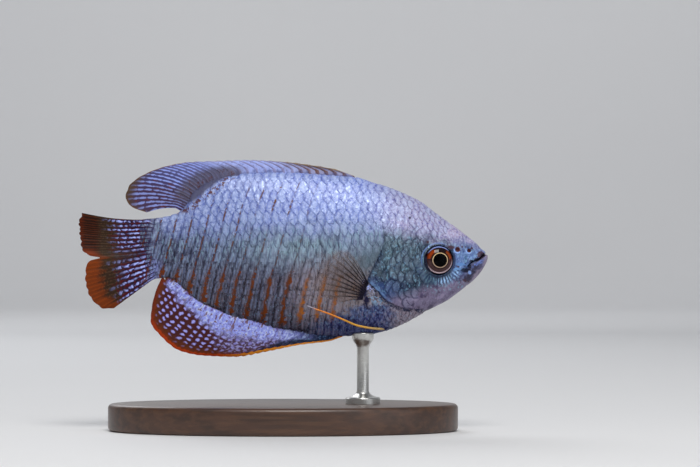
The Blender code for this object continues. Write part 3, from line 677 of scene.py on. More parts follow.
    @staticmethod
    def ridge_marks(paint: Paint, x: Value, z: Value, mottle: Value, fine: Value) -> None:
        """The dusky seam and the rust spots along the foot of the dorsal fin's rear half."""
        ridge = z - 0.76 * (x + 16) - 9.7 + 1.2 * mottle
        behind = x.step(-2, -8) * x.step(-23, -19) * z.step(7.4, 8.4)
        paint(ridge.step(0.2, 1.1) * behind * 0.9, 0x4C4A64)
        spots = (ridge + 3 * fine).near(0, 0.9) * (fine + mottle).step(-0.03, 0.06)
        paint((spots * 1.6).least(1) * behind * 0.9, 0x582812)

    def head_zones(self, paint: Paint, x: Value, z: Value, head: Value, crown: Value, mottle: Value) -> None:
        """Teal cheek, pink-lavender crown, pale blue in front of the eye and a mauve throat."""
        paint(head, self.cheek)
        paint(head * (mottle + 0.5).step(0.42, 0.62) * z.step(-6, -3) * 0.6, 0x52626E)
        paint(head * (x + 6 * mottle).near(21, 6) * z.step(-5, -1.5) * 0.6, 0x5C747C)
        paint(head * (z + 4 * mottle).step(-3, -6) * x.step(24, 18) * 0.8, 0x3A548E)
        paint(crown * x.step(13, 24), self.crown)
        paint((z + 0.75 * (x - 33) - 2.9 + mottle).step(-0.7, 0.7) * x.step(30, 33.5) * 0.8, 0xBAB0D0)
        paint(crown * (z - 0.4 + mottle).step(2.6, 4) * x.step(26, 32) * 0.5, 0xC4B6D0)
        paint((x + mottle).step(30.2, 31.6) * (1 - crown) * head, 0x627EB6)
        below = (z - (x - 20) * 0.3 + 7.6 + 2.5 * mottle).step(1.2, -1.2) * head * x.step(17, 20.5)
        paint(below, self.throat)
        paint(below * mottle.step(-0.02, -0.12) * 0.6, 0x62506C)
        paint(below * mottle.step(0.04, 0.14) * 0.7, 0x9C90B0)

    def bars(self, paint: Paint, x: Value, z: Value, column: Value, head: Value, drift: Value,
             fine: Value, scale: tuple[Value, Value, Value]) -> Value:
        """Rust bars on every second column of scales, broken above and blotched below; gives where they lie."""
        whole = ((column * 0.5 + 0.5).fraction() - 0.5) * 2.9
        low, high = z.step(-1, -5), z.step(6.8, 8) * x.near(-1, 11) * z.step(13.8, 13)
        middle, jolt = self.middle_of(scale), scale[2] - 0.5
        whole = whole + 0.16 * jolt * low
        wobble = abs(whole + (1.3 * drift + 0.6 * fine) * (0.25 + 0.75 * z.step(4, -2)))
        dashes = (drift + 0.6 * fine).step(-0.06, 0.04)
        base = z + 13 - 0.42 * (-1 * x - 2).most(0) + 6 * drift
        width = 0.08 + (0.03 + 0.17 * middle) * low + 0.05 * high + 0.03 * x.step(-5, -9)
        width = width + (0.6 * fine + 0.4 * drift) * (0.3 + 0.7 * low) - 0.015 * low
        width = width + 0.26 * base.step(4.2, 1.8) * (drift + 1.2 * fine).step(0, 0.12)
        line = (width - wobble).step(-0.12, 0.08)
        heavy = z.step(1.5, -3) * z.step(-13.6, -12) * column.step(2.5, 6)
        heavy = heavy * (0.35 + 0.65 * dashes.most(low * 0.85))
        rear = x.step(-5, -8) * z.step(11.5, 8.5) * (0.1 + 0.85 * dashes)
        middle = z.step(6, 3) * dashes * 0.7 * column.step(4.5, 7) * z.step(-13.2, -11)
        amount = heavy.most(rear).most(high * (0.2 + 0.8 * dashes)).most(middle) * (1 - head)
        rust = paint.nodes.blend((width - wobble + 0.6 * fine).step(0, 0.26), 0x4E2614, self.rust)
        paint(line * amount, paint.nodes.blend((z + 4 * drift).step(-1.5, 3), rust, 0x643E2C))
        front = column.step(5.2, 3.6) * column.step(-0.8, 0.3) * (z + 6 * drift).step(-3, -5.5)
        front = front * z.step(-12.4, -10.5)
        paint(line * front * (1 - head) * (0.35 + 0.65 * dashes), self.amber)
        halo = (0.3 + width - wobble).step(-0.2, 0.3) * (front * 0.5 + 0.15 * low * heavy) * (1 - head)
        paint(halo, 0x965C30)
        return line * amount

    @staticmethod
    def middle_of(scale: tuple[Value, Value, Value]) -> Value:
        """One along the middle of a scale, falling to zero at its sides."""
        return 1 - 2 * abs(scale[1] - 0.5)

    def scale_shading(self, paint: Paint, scale: tuple[Value, Value, Value], pale: Value, lower: Value,
                      head: Value, column: Value, streak: Value) -> None:
        """Each scale's own tone, a painted highlight band, a thin dark free edge that is partly painted shadow,
        painted shade between the cheek scales, and ribs low on the flank and on the stem painted as shaded
        grooves and highlighted strokes.
        """
        along, across, tone = scale
        solid = along.step(0.1, 0.3)
        low = lower * (1 - head)
        dim = 1 - 0.55 * head * (1 - pale)
        paint((tone - 0.5).most(0) * solid * (0.5 - 0.42 * low) * dim, 0xB0C4E8)
        paint.dim((0.5 - tone).most(0) * solid * (0.45 - 0.38 * low), 0x6E7898)
        # Painted highlight: a bright band across each scale's exposed part, stronger on the back.
        paint(along.near(0.78, 0.2) * (0.1 + 0.3 * pale) * (1 - abs(across - 0.5)) * dim, self.glint)
        # Painted shadow along each scale's free edge, partly the edge's own dusky colour; darker on the scale's
        # lower half, as if lit from above.
        edge = along.step(0.9, 0.97) * (0.52 - 0.2 * pale - 0.25 * low) * (1 - 0.5 * across * (1 - low))
        paint.dim(edge, 0x545A8C)
        # Painted shade between the cheek scales, along their sides and free edges.
        sides = along.step(0.8, 0.98).most(abs(across - 0.5).step(0.34, 0.48))
        paint.dim(sides * solid * head * (1 - 0.7 * pale) * (0.15 + 0.45 * tone), 0x5C628C)
        middle = self.middle_of(scale)
        # Ribs low on the flank and on the stem: painted shade along the columns' free edges and between the
        # scales, and painted highlight strokes on the ribs.
        ribs = abs((column + 0.5 + 0.5 * streak + 0.2 * tone).fraction() - 0.5)
        low = lower.most(column.step(7, 14) * (1 - 0.8 * pale)) * (1 - head) * column.step(-2, 1)
        paint.dim(ribs.step(0.15, 0.03) * low * (0.3 + tone * 0.3), 0x5A567C)
        light = paint.nodes.blend(column.step(1, 12), 0x9288A0, 0x748ABA)
        lines = abs(ribs - 0.27 + 0.3 * streak).step(0.15, 0.03)
        paint(lines * low * (0.08 + 0.42 * tone) * middle.step(-0.1, 0.7), light)
        paint.dim(ribs.step(0.41, 0.49) * low * 0.4, 0x58547A)
        paint.dim(middle.step(0.25, 0) * low * 0.35, 0x605E84)

    def gill_marks(self, paint: Paint, x: Value, z: Value, gill: Value, fine: Value, grain: Value) -> None:
        """The dark seam round the gill cover, painted shade in its groove; bright streaks behind it and the
        pectoral fin's dark root.
        """
        paint(gill.step(-6, -1) * gill.step(0, -0.3) * (z + 5 * fine).near(-0.5, 5) * 0.75, 0x526672)
        behind = gill.step(-2.6, -1.4) * gill.step(0.1, -0.3)
        paint(behind * z.near(-8, 3) * fine.step(0, -0.16) * 0.75, 0x26325C)
        paint(behind * z.near(-7.9, 2) * (fine + 0.5 * grain).step(-0.02, 0.08) * 0.85, 0x7CA8D2)
        streak = (gill + 1.2 * fine).near(-0.75, 0.62) * (z + 2 * fine).near(-5.4, 1.5)
        paint((streak * 1.7).least(1) * (grain + fine).step(-0.16, -0.02), 0xB0C2FF)
        for along, height, wide, high in ((14.9, -6.4, 0.8, 1.9), (15.2, -8.2, 0.8, 1.3)):
            root = (x + fine).near(along, wide) * (z + 2 * fine).near(height, high)
            paint((root * 1.6).least(1) * gill.step(-0.9, -1.2), 0x16143A)
        lower = z.step(-4, -6.5)
        # Painted shade: the dark seam in the groove round the gill cover.
        seam = (gill + 1 * fine).near(-0.08, 0.3 + 0.12 * lower) * (z + 2 * fine).step(4.6, 3.2)
        seam = seam * x.step(28, 26)
        paint((seam * 1.5).least(0.92) * (0.45 + 2.5 * fine + 0.5 * lower).least(1), 0x1A2046)
        paint(gill.near(0.5, 0.34) * (z + 5 * fine).near(-6.5, 2.6) * x.step(22, 19) * 0.6, 0x769CD0)

    def face_marks(self, paint: Paint, nodes: Nodes, place: Socket, x: Value, z: Value,
                   mouth: Value, head: Value) -> None:
        """The ring round the eye with a painted shadow under it, the ribs below it, nostrils, pores, the lips'
        colours and marks, and painted shade in the mouth's slit.
        """
        patch, fine = nodes.noise(place, 1.1, 3), nodes.noise(place, 2.4, 3)
        eye_x, eye_z = x - FishForm.EYE[0], z - FishForm.EYE[1]
        eye = (eye_x * eye_x + eye_z * eye_z) ** 0.5
        front = x.step(30.2, 31.4) * head * z.step(1.8, 0.4) * z.step(-4.8, -3.4)
        paint(front * fine.step(0.04, 0.16) * 0.55, 0x92B4E8)
        paint(front * fine.step(0, -0.14) * 0.45, 0x4A6096)
        paint(front * (patch + 0.4 * fine).step(0, 0.12) * z.step(0.6, -1.2) * 0.8, 0x2C345C)
        paint(fine.step(-0.08, -0.18) * x.step(29.5, 31) * z.step(0.5, 1.5) * 0.5, 0x706084)
        spokes = (nodes.math("ARCTAN2", eye_x, eye_z) * 6.8 + 1.2 * patch).wave()
        ahead = eye_x.step(-1.2, 0.8)
        ribbed = (eye + patch).near(4, 1.05) * (eye_z + 0.12 * eye_x).step(-0.9, -1.8)
        paint(ribbed * 0.55, 0x2E426A)
        broken = (0.75 + 3 * fine + 2 * patch).most(0.1).least(1)
        paint(ribbed * spokes.step(0.3, 0.75) * (0.5 + 0.5 * ahead) * broken,
              nodes.blend(ahead, 0x62848E, 0xA6CEFA))
        paint(eye.near(3.12, 0.18) * (eye_z - 0.9 * eye_x).step(1, 2.8) * 0.5, 0x7092E2)
        # Painted shadow under the eye's rim, on its lower front side.
        paint(eye.near(2.98, 0.3) * (eye_x * 0.8 - eye_z).step(0, 1.6) * 0.75, 0x222848)
        paint(eye.step(2.8, 2.66), self.ink)
        jaw = mouth.step(0, -0.25) * x.step(32.8, 33.8) * z.step(-6.2, -4.4)
        paint(jaw * 0.9, 0x504C68)
        paint(jaw * (0.6 * patch + fine).step(-0.02, 0.12) * 0.5, 0x767AA4)
        deep = (jaw * (mouth + 2.5 * fine + patch).near(-1.35, 1) * 1.6).least(1)
        paint(deep * (patch + 0.6 * fine).step(-0.14, 0.02) * x.step(36.6, 35.6) * 0.85, 0x2A263C)
        rim = jaw * (mouth - 0.1 * (x - 33) + 1.5 * patch).step(-1.9, -2.4)
        paint(rim.most(jaw * x.step(36.2, 37)) * 0.8, 0x9C90A8)
        paint(rim * (patch - fine).step(0.02, 0.16) * 0.5, 0x483C54)
        lip = mouth.near(-0.62, 0.42) * x.step(34, 35) * x.step(37.2, 36.6)
        paint((lip * 1.4).least(1) * (0.4 + 4 * fine).most(0).least(1), 0x708EE2)
        brow, rust, dark = 0x4A303E, 0x622818, 0x221A2C
        marks = ((31.84, 1.19, 0.46, 1, rust), (33.95, 1, 0.36, 1, rust), (26.4, 2.56, 0.2, 1, brow),
                 (31.9, -2, 0.26, 1, brow), (23.1, 7, 0.2, 1, self.ink), (30.7, 1.62, 0.34, 1.8, brow),
                 (32.76, 1.65, 0.17, 1, brow), (33.3, 1.65, 0.17, 1, brow), (34.5, 1.4, 0.22, 1.2, brow),
                 (33.3, -2.62, 0.42, 2.2, self.ink), (34, -1.9, 0.42, 0.8, self.ink),
                 (34.4, -0.95, 0.3, 1.3, self.ink), (32.6, -1.55, 0.3, 2.6, 0x608CC8),
                 (31.7, -2.35, 0.26, 2.4, 0x709ED8), (35.5, -0.62, 0.34, 2, dark),
                 (36.1, 0.25, 0.62, 1.1, brow), (36.5, 0.1, 0.42, 1.2, dark), (34.07, -3.06, 0.3, 1, 0x8EACEC),
                 (33.2, -4.5, 0.26, 1.3, brow), (33.9, -4.7, 0.22, 1, brow))
        for along, height, radius, stretch, colour in marks:
            gap_x, gap_z = (x - along) / stretch, z - height
            far = (gap_x * gap_x + gap_z * gap_z) ** 0.5
            if colour is rust:
                paint(far.near(radius + 0.14, 0.22) * (gap_z + 0.5 * gap_x).step(0, -0.35), 0x9CBCFA)
            paint((far + 0.5 * fine + 0.3 * patch).step(radius + 0.08, radius - 0.1) * 0.92, colour)
        dashes = (fine + 0.4 * patch).step(-0.02, 0.1)
        paint(z.near(5.9, 0.16) * x.near(6, 6) * (1 - head) * dashes * 0.8, self.ink)
        # Painted shade: a dark line in the mouth's slit.
        paint(mouth.near(0, 0.2) * x.step(33.4, 34.4), 0x16101E)


@dataclass(frozen=True)
class FinFinish(Finish):
    """Thin fin skin; subclasses paint the stripes and spots between its rays."""

    roughness: float = 0.5
    specular: float = 0.14

    def lines(self, nodes: Nodes) -> tuple[Socket, Value, Value, Value]:
        """The coordinates, the ray's number, the distance out from the root and the share of that way."""
        ray, out, reach = nodes.split(nodes.attribute("fin"))
        return nodes.place(), ray, out, reach


@dataclass(frozen=True)
class DorsalFinish(FinFinish):
    """Brown spines on lavender in front, pale blue dashes on maroon behind, and a thin brown margin."""

    ground: Colour = 0xA4B2F0

    def lay(self, nodes: Nodes, paint: Paint) -> None:
        """Streaks along the spines, dashes between the soft rays, a painted shadow along the spiny part's root,
        the dusky root behind and the margin.
        """
        place, ray, out, reach = self.lines(nodes)
        mottle, grain = nodes.noise(place, 0.8, 3), nodes.noise(place, 3.2, 3)
        soft, last = (ray + mottle).step(13, 16.5), (ray + mottle).step(19.6, 21.4)
        between, double = ray.wave(), (ray * 2 + 0.5).wave()
        weave = nodes.noise(nodes.join(ray * 1.3, out * 0.9, 0), 1, 2)
        paint((mottle + weave).step(0, 0.2) * 0.7, 0xB2C0F8)
        paint((mottle + grain).step(-0.05, -0.3) * 0.5, 0x686CA8)
        front = (ray + 3 * mottle).step(9.5, 3.5)
        spine = (1 - between + 0.8 * grain + 1.2 * weave + 0.15 * front).step(0.5, 0.95)
        paint((1 - soft) * front * 0.7, 0x9A94AC)
        paint((1 - soft) * spine * (0.6 + 0.3 * front), nodes.blend(front, 0x847698, 0x76523E))
        paint((1 - soft) * reach.step(0.8, 0.97) * (0.45 + 0.4 * front + grain), 0x9E8A70)
        # Painted shadow: a dark blue line along the spiny part's root, where the fin meets the back.
        paint((1 - soft) * (out + 1.5 * mottle).step(0.6, 0.1) * 0.6, 0x4A5282)
        lines, own = double, nodes.chance(ray * 2 + 0.5)
        dash = (out * (0.4 + 0.3 * own) + 5 * own + 1.6 * mottle + weave).wave()
        paint(soft, nodes.blend((ray + mottle).step(20, 16), 0x484270, 0x666AA0))
        paint(last * 0.8, 0x463048)
        light = lines * (0.6 + 0.4 * dash) + 0.6 * grain + 1 * weave
        paint(soft * light.step(0.3, 0.72) * (1 - 0.25 * last), 0x94A4EC)
        rusty = soft * (mottle + 0.3 * grain).step(0.05, 0.2) * (1 - lines)
        paint(rusty * (0.45 + 0.5 * last), 0x683230)
        dusky = (out + 2 * mottle).step(3.2, 1.2) * ray.step(11.5, 14) * ray.step(24, 21)
        paint(dusky * 0.85, 0x545062)
        paint(dusky * (0.7 * grain + 0.6 * mottle).step(0.02, 0.2) * 0.75, 0x542A22)
        margin = (reach + 0.03 * grain).step(0.945, 0.985)
        paint(soft * margin * 0.9, 0x744824)
        tip = (reach + 0.05 * mottle).step(0.8, 0.95) * ray.near(21.5, 4)
        paint(tip * 0.85, 0x503E2E)
        nodes.bump(grain + between, 0.05)


@dataclass(frozen=True)
class AnalFinish(FinFinish):
    """A bright lavender root band, pale spots on maroon, and a rust-orange saw-toothed margin."""

    ground: Colour = 0x461D22

    def lay(self, nodes: Nodes, paint: Paint) -> None:
        """Band, spots, brown zone and margin from the root out."""
        place, ray, out, reach = self.lines(nodes)
        x, _, z = nodes.split(place)
        mottle, grain = nodes.noise(place, 0.7, 3), nodes.noise(place, 2.6, 3)
        weave = nodes.noise(nodes.join(ray * 2.2, out * 1.7, 0), 1, 3)
        fore, between = (x + 5 * mottle).step(-14, -8.5), ray.wave()
        navy = (x + 3 * mottle).step(-3, 5)
        inside = out / reach.most(0.1) - out
        paint(weave.step(-0.02, 0.12) * 0.6, 0x4E2C1E)
        paint(fore, 0x543E54)
        paint(navy, 0x223058)
        odd, own = (ray * 0.5).fraction().step(0.49, 0.51), nodes.chance(ray)
        dot = (out / (0.95 + 0.2 * own) + 0.5 * odd + 0.3 * own + 1.4 * mottle).wave()
        spots = between * dot + 1.1 * weave + 0.5 * grain
        fading = inside.step(0.3, 2.4)
        paint(spots.step(0.24, 0.46) * (0.25 + 0.75 * fading) * (1 - navy), 0x786CB2)
        paint(spots.step(0.46, 0.7) * fading * (1 - 0.6 * fore), 0xA4A6F0)
        paint((weave + 0.6 * grain).step(0, 0.12) * fore * x.step(9, 1) * 0.8,
              nodes.blend(navy, 0xAAA8E2, 0x7896D8))
        depth = 2.7 - 1.8 * x.step(-8, 3) - 1.9 * x.step(-11, -19)
        band = (out + 3.5 * mottle + 2 * weave - depth).step(1.1, -0.8) * x.step(8, 2.5)
        paint(band * (1 - 0.45 * navy), 0x9AA4F2)
        paint((weave + 0.6 * grain).step(0, 0.12) * band, 0xC8D4FF)
        paint((weave + 0.6 * grain).step(-0.09, -0.17) * band * 0.8, nodes.blend(navy, 0x684880, 0x384E8C))
        paint((0.7 * mottle + weave).step(0.07, 0.14) * x.step(2, -4) * band * 0.85, 0x682E3C)
        paint(x.step(1, 8) * 0.85, 0x182646)
        paint((weave + grain).step(0.06, 0.2) * navy * 0.5, 0x6E98CC)
        rooted = reach.step(0.1, 0.35)
        brown = (inside - 3 * mottle - 2 * weave).step(3.2, 1) * (1 - navy) * (1 - 0.45 * fore)
        paint(brown * (1 - 0.6 * spots.step(0.5, 0.8) * fading), 0x5A2A14)
        shade = (inside - 3 * mottle - 2 * weave - 3 * x.step(-7, 4)).step(2, 0.6) * x.step(-10, -4) * rooted
        paint(shade * 0.85, 0x0E1E32)
        paint((inside - grain - mottle).step(1.5, 0.6) * (1 - navy) * rooted, 0x722A0C)
        margin = (inside - 0.8 * grain - 0.6 * x.step(-12, -3)).step(0.85, 0.6) * rooted
        paint(margin, nodes.blend(z.step(-9, -15), 0x68240C, 0xA63606))
        paint(margin * x.step(-13, -4), 0xDA8828)
        nodes.bump(grain + between, 0.05)


@dataclass(frozen=True)
class TailFinish(FinFinish):
    """Olive brown and rust, with pale blue dashes between the rays and maroon dots on them."""

    ground: Colour = 0x2E192E

    def lay(self, nodes: Nodes, paint: Paint) -> None:
        """Body colour at the root, dashes and dots, and the rust edge."""
        place, ray, out, reach = self.lines(nodes)
        x, _, z = nodes.split(place)
        mottle, grain = nodes.noise(place, 0.8, 3), nodes.noise(place, 3.2, 3)
        between, double = ray.wave(), (ray * 2 + 3 * mottle * grain).wave()
        weave = nodes.noise(nodes.join(ray * 1.4, out * 0.8, 0), 1, 2)
        paint((out + 1.5 * mottle).step(6, 9), 0x322114)
        paint((out + 1.5 * mottle).step(6, 8) * (grain + 0.3 * double).step(0.15, 0.35) * 0.5, 0x58422E)
        own = nodes.chance(ray)
        dash = (out / (1.1 + 0.8 * own) + own * 5 + 2.4 * mottle + 1.6 * weave).wave()
        rooted = (x + 1.5 * mottle + weave).step(-23.2, -25).most(z.step(-0.5, -2) * 0.8)
        lit = 1 - (out + 3.2 * mottle + 2.5 * own).step(6.5, 11)
        lit = lit * (0.45 + 0.55 * (mottle + weave).step(-0.1, 0.08)) * rooted
        centre = ray.near(8.6, 2.2)
        light = between * (0.35 + 0.65 * dash) + 0.4 * grain + 0.8 * weave
        light = light + 0.15 * (out + 2 * mottle).step(5, 1.5)
        paint((x + 2 * mottle).step(-26, -23.4) * 0.8, 0x48406A)
        paint(light.step(0.3, 0.6) * lit * (1 - 0.85 * centre), 0x8086D0)
        paint(light.step(0.56, 0.8) * lit * (1 - 0.9 * centre), 0xB2BEFF)
        dots = ((1 - between) * (1 - dash) + 0.5 * grain + 0.5 * weave).step(0.42, 0.62)
        paint(dots * 0.9 * (out + mottle).step(10, 7.5) * (out + mottle).step(0.8, 2), 0x540E18)
        upper, lower = z.step(-0.6, 0.4), z.step(0.2, -0.8)
        edge = (x + 1.6 * mottle + 0.8 * grain).step(-32.8, -34.6)
        paint(edge * upper * 0.95, 0x260900)
        paint((x + 0.8 * mottle).step(-36.1, -37) * upper * 0.6, 0x581A02)
        paint(reach.step(0.75, 0.95) * ray.near(7.6, 1.4), 0x7A2E0C)
        rim = (reach + 0.2 * mottle + 0.1 * grain + 0.05 * between).step(0.72, 0.92)
        paint(rim * lower * 0.95, 0x76320A)
        fans = (rim * lower).most(edge * upper * 0.4) * (double + grain).step(0.55, 0.95)
        paint(fans * 0.5, 0x923E0A)
        paint(ray.near(8.5, 2.2) * out.step(2.5, 5) * (1 - reach.step(0.7, 0.9)) * 0.5, 0x423426)
        nodes.bump(grain + between, 0.05)


@dataclass(frozen=True)
class PectoralFinish(FinFinish):
    """Clear brownish skin between dark rays."""

    ground: Colour = 0x7C685C

    def lay(self, nodes: Nodes, paint: Paint) -> None:
        """Rays that show dark and nearly solid, and skin that the flank shows through."""
        place, ray, out, reach = self.lines(nodes)
        grain = nodes.noise(place, 2.5, 3)
        line, web = ray.wave(), nodes.noise(nodes.join(ray * 1.2, out * 0.6, 0), 1, 2)
        rays = (0.34 - 0.2 * reach - line + 0.2 * web).step(-0.1, 0.1) * reach.step(1, 0.3)
        root = (out + 1.5 * grain + web).step(2.2, 0.9)
        paint(web.step(0, 0.14) * 0.5, 0x846042)
        paint(rays, 0x1A1622)
        paint(root * 0.95, 0x121028)
        clear = 0.14 + 0.6 * web.most(0) + (0.85 - 0.45 * reach) * rays
        nodes.feed("Alpha", clear.most(root * 0.95).least(1) * reach.step(1.02, 0.86))


@dataclass(frozen=True)
class FeelerFinish(Finish):
    """Yellow-orange thread with a pale tip and faint joints."""

    ground: Colour = 0xE2801C

    def lay(self, nodes: Nodes, paint: Paint) -> None:
        """Amber at the root, orange along its length and pale grey at the tip."""
        place = nodes.place()
        x, _, _ = nodes.split(place)
        grain = nodes.noise(place, 2.4, 3)
        paint(x.step(8.5, 13), 0xD69C34)
        paint(x.step(14, 17.5) * 0.85, 0xA89468)
        paint(grain.step(0, 0.3) * 0.5, 0xF4B248)
        paint((x + 0.4 * grain).step(6.4, 5.2), 0xA09CAC)
        nodes.bump((x * 1.6).wave() + grain, 0.02)


@dataclass(frozen=True)
class EyeFinish(Finish):
    """A black pupil in a gold ring, a dark brown iris with rust lights, and a dark rim with painted reflection
    arcs along its top, under a clear gloss.
    """

    ground: Colour = 0x402428
    roughness: float = 0.5
    specular: float = 0.0
    coat_weight: float = 0.6
    coat_roughness: float = 0.03

    def lay(self, nodes: Nodes, paint: Paint) -> None:
        """Rings by the distance from the pupil's middle, rust lights and painted reflection arcs by the hour on
        the eye's dial.
        """
        far, ahead, up = nodes.split(nodes.attribute("dial"))
        place = nodes.place()
        fibre = nodes.noise(nodes.join(nodes.math("ARCTAN2", ahead, up) * 3, far * 0.6, 0), 2.2, 3)
        grain = nodes.noise(place, 2.4, 3)
        paint((up + 0.5 * fibre).step(-0.2, 0.5) * 0.9, 0x0E080C)
        paint((up * 0.6 - ahead * 0.8 + 0.3 * fibre).step(0.86, 0.97) * far.near(1.95, 0.5) * 0.9, 0xA03C04)
        paint((up * 0.5 + ahead * 0.87 + 0.3 * fibre).step(0.87, 0.98) * far.near(1.9, 0.5), 0x8C3A0A)
        paint((fibre + 0.6 * grain).step(-0.02, 0.25) * 0.16, 0x784E3A)
        paint(far.near(1.54, 0.18) * 0.9, 0x20100E)
        paint((far + 0.03 * fibre).near(1.31, 0.11), nodes.blend(up.step(-0.8, 0.8), 0xCEB296, 0xF0D4A0))
        paint(far.step(1.24, 1.19), (0.0012, 0.0012, 0.0015))
        paint((far + 0.05 * grain).near(2.3, 0.19) * (up - 0.2 * ahead).step(0, -0.6), 0xF4D8E0)
        paint(far.step(2.38, 2.5), 0x0C0E20)
        # Painted reflection: light blue arcs along the upper rim, where a lamp would be mirrored.
        paint((far + 0.06 * grain).near(2.4, 0.13) * (up - 0.1 * ahead).step(0.55, 0.8), 0x9EB2F8)
        paint(far.near(2.52, 0.08) * (up - 0.9 * ahead).step(0.6, 1) * 0.8, 0x6E92E2)
        nodes.feed("Coat Weight", 0.06 + 0.5 * far.step(1.25, 1.6))
        nodes.bump(fibre * far.near(1.9, 0.6), 0.05)


@dataclass(frozen=True)
class WalnutFinish(Finish):
    """Dark satin walnut with its grain along the base."""

    ground: Colour = 0x4A3022
    roughness: float = 0.42
    coat_weight: float = 0.35
    coat_roughness: float = 0.28

    def lay(self, nodes: Nodes, paint: Paint) -> None:
        """Year rings drawn out along the board, fine pores and lighter streaks."""
        place = nodes.place()
        drift = nodes.noise(place, (0.02, 0.1, 0.1), 3)
        _, y, z = nodes.split(place)
        rings = (y * 0.16 + z * 0.1 + 7 * drift).wave()
        pores = nodes.noise(place, (0.35, 5, 5), 3)
        streak = nodes.noise(place, (0.06, 1.3, 1.3), 3)
        paint(rings * 0.6, 0x2C1C15)
        paint((streak + 0.1).step(0, 0.3) * 0.5, 0x62422C)
        paint(pores.step(0.12, 0.3) * 0.7, 0x1A110D)
        nodes.feed("Roughness", 0.42 + 0.2 * pores)
        nodes.bump(-0.6 * pores.step(0.1, 0.3) + 0.2 * streak, 0.05)


@dataclass(frozen=True)
class SteelFinish(Finish):
    """Brushed steel, turned on a lathe."""

    ground: Colour = (0.6, 0.6, 0.58)
    roughness: float = 0.3
    metallic: float = 1.0

    def lay(self, nodes: Nodes, paint: Paint) -> None:
        """Fine rings round the rod in colour, gloss and relief."""
        place = nodes.place()
        brush = nodes.noise(place, (0.5, 0.5, 14), 3)
        cloud = nodes.noise(place, 0.5, 2)
        paint(brush.step(-0.1, 0.3) * 0.35, (0.42, 0.42, 0.41))
        nodes.feed("Roughness", 0.3 + 0.18 * brush + 0.1 * cloud)
        nodes.bump(brush, 0.02)


@dataclass(frozen=True)
class StudioFinish(Finish):
    """Pale matt paper of the studio's floor and wall."""

    ground: Colour = (0.78, 0.78, 0.79)
    roughness: float = 0.85

    def lay(self, nodes: Nodes, paint: Paint) -> None:
        """A faint unevenness in the paper's tone."""
        cloud = nodes.noise(nodes.place(), 0.004, 2)
        paint(0.5 + cloud, (0.83, 0.83, 0.835))


def make_object(name: str, bm: Shape, material: Material) -> Object:
    """Makes an object of a bmesh that was modelled about the fish's axis in millimetres.

    Args:
        name: the object's name.
        bm: its shape, which is freed.
        material: its finish.

    Returns:
        The object, in metres over the floor.
    """
    bmesh.ops.scale(bm, vec=(MM,) * 3, verts=bm.verts)
    bmesh.ops.translate(bm, vec=(0, 0, AXIS_HEIGHT * MM), verts=bm.verts)
    mesh = bpy.data.meshes.new(name)
    bm.to_mesh(mesh)
    bm.free()
    mesh.shade_smooth()
    mesh.materials.append(material)
    obj = bpy.data.objects.new(name, mesh)
    bpy.context.scene.collection.objects.link(obj)
    return obj


def finish_piece(name: str, bm: Shape, material: Material, stands_for: Sequence[str] = (),
                 sharp: float = 60) -> Object:
    """Makes a piece of the model and hangs it there.

    Args:
        name: the piece's name.
        bm: its shape in millimetres about the fish's axis, which is freed.
        material: its finish.
        stands_for: the CAD nodes that it replaces.
        sharp: degrees past which an edge stays sharp.

    Returns:
        The object.
    """
    obj = make_object(name, bm, material)
    obj.data.set_sharp_from_angle(angle=math.radians(sharp))
    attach(obj, "root")
    if stands_for:
        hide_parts(*stands_for)
    obj.data.calc_loop_triangles()
    LOG.info("%s: %d triangles", name, len(obj.data.loop_triangles))
    return obj


def turned(outline: Table, steps: int, gap: float = 0.001) -> Shape:
    """Turns an outline about the upright axis, as on a lathe.

    Args:
        outline: (radius, height) places, the first on the axis.
        steps: facets round the axis.
        gap: vertices nearer than this are merged.

    Returns:
        The shape.
    """
    bm = bmesh.new()
    verts = [bm.verts.new((radius, 0.0, height)) for radius, height in outline]
    edges = [bm.edges.new(pair) for pair in zip(verts, verts[1:])]
    bmesh.ops.spin(bm, geom=[*verts, *edges], axis=(0, 0, 1), cent=(0, 0, 0), steps=steps, angle=2 * math.pi,
                   use_merge=True)
    bmesh.ops.remove_doubles(bm, verts=bm.verts, dist=gap)
    bmesh.ops.recalc_face_normals(bm, faces=bm.faces)
    return bm


def ball(around: int, steps: int) -> tuple[Shape, Array, Array]:
    """A ball whose rings are to be drawn out along a line.

    Args:
        around: facets round each ring.
        steps: rings from pole to pole.

    Returns:
        The ball, the number of each vertex's ring and its angle round it.
    """
    bm = bmesh.new()
    bmesh.ops.create_uvsphere(bm, u_segments=around, v_segments=steps, radius=1.0)
    places = np.array([vert.co for vert in bm.verts])
    ring = np.rint(np.arccos(np.clip(places[:, 2], -1, 1)) / math.pi * steps).astype(int)
    return bm, ring, np.arctan2(places[:, 1], places[:, 0])


def put_points(bm: Shape, points: Array) -> None:
    """Moves each vertex, in order, to its point."""
    for vert, point in zip(bm.verts, points):
        vert.co = point


def put_layer(bm: Shape, name: str, *numbers: Array) -> None:
    """Writes three numbers of each vertex as a vector attribute."""
    layer = bm.verts.layers.float_vector.new(name)
    for vert, value in zip(bm.verts, joined(*numbers)):
        vert[layer] = value


def flat_place(share: Array | float, around: Array | float) -> Array:
    """Where a place lies on the skin laid flat, inside the picture's margin.

    Args:
        share: its share of the way from snout to tail.
        around: its share of the way round the section, from the belly's seam.

    Returns:
        The place on the picture.
    """
    return 0.005 + 0.99 * joined(share, around)


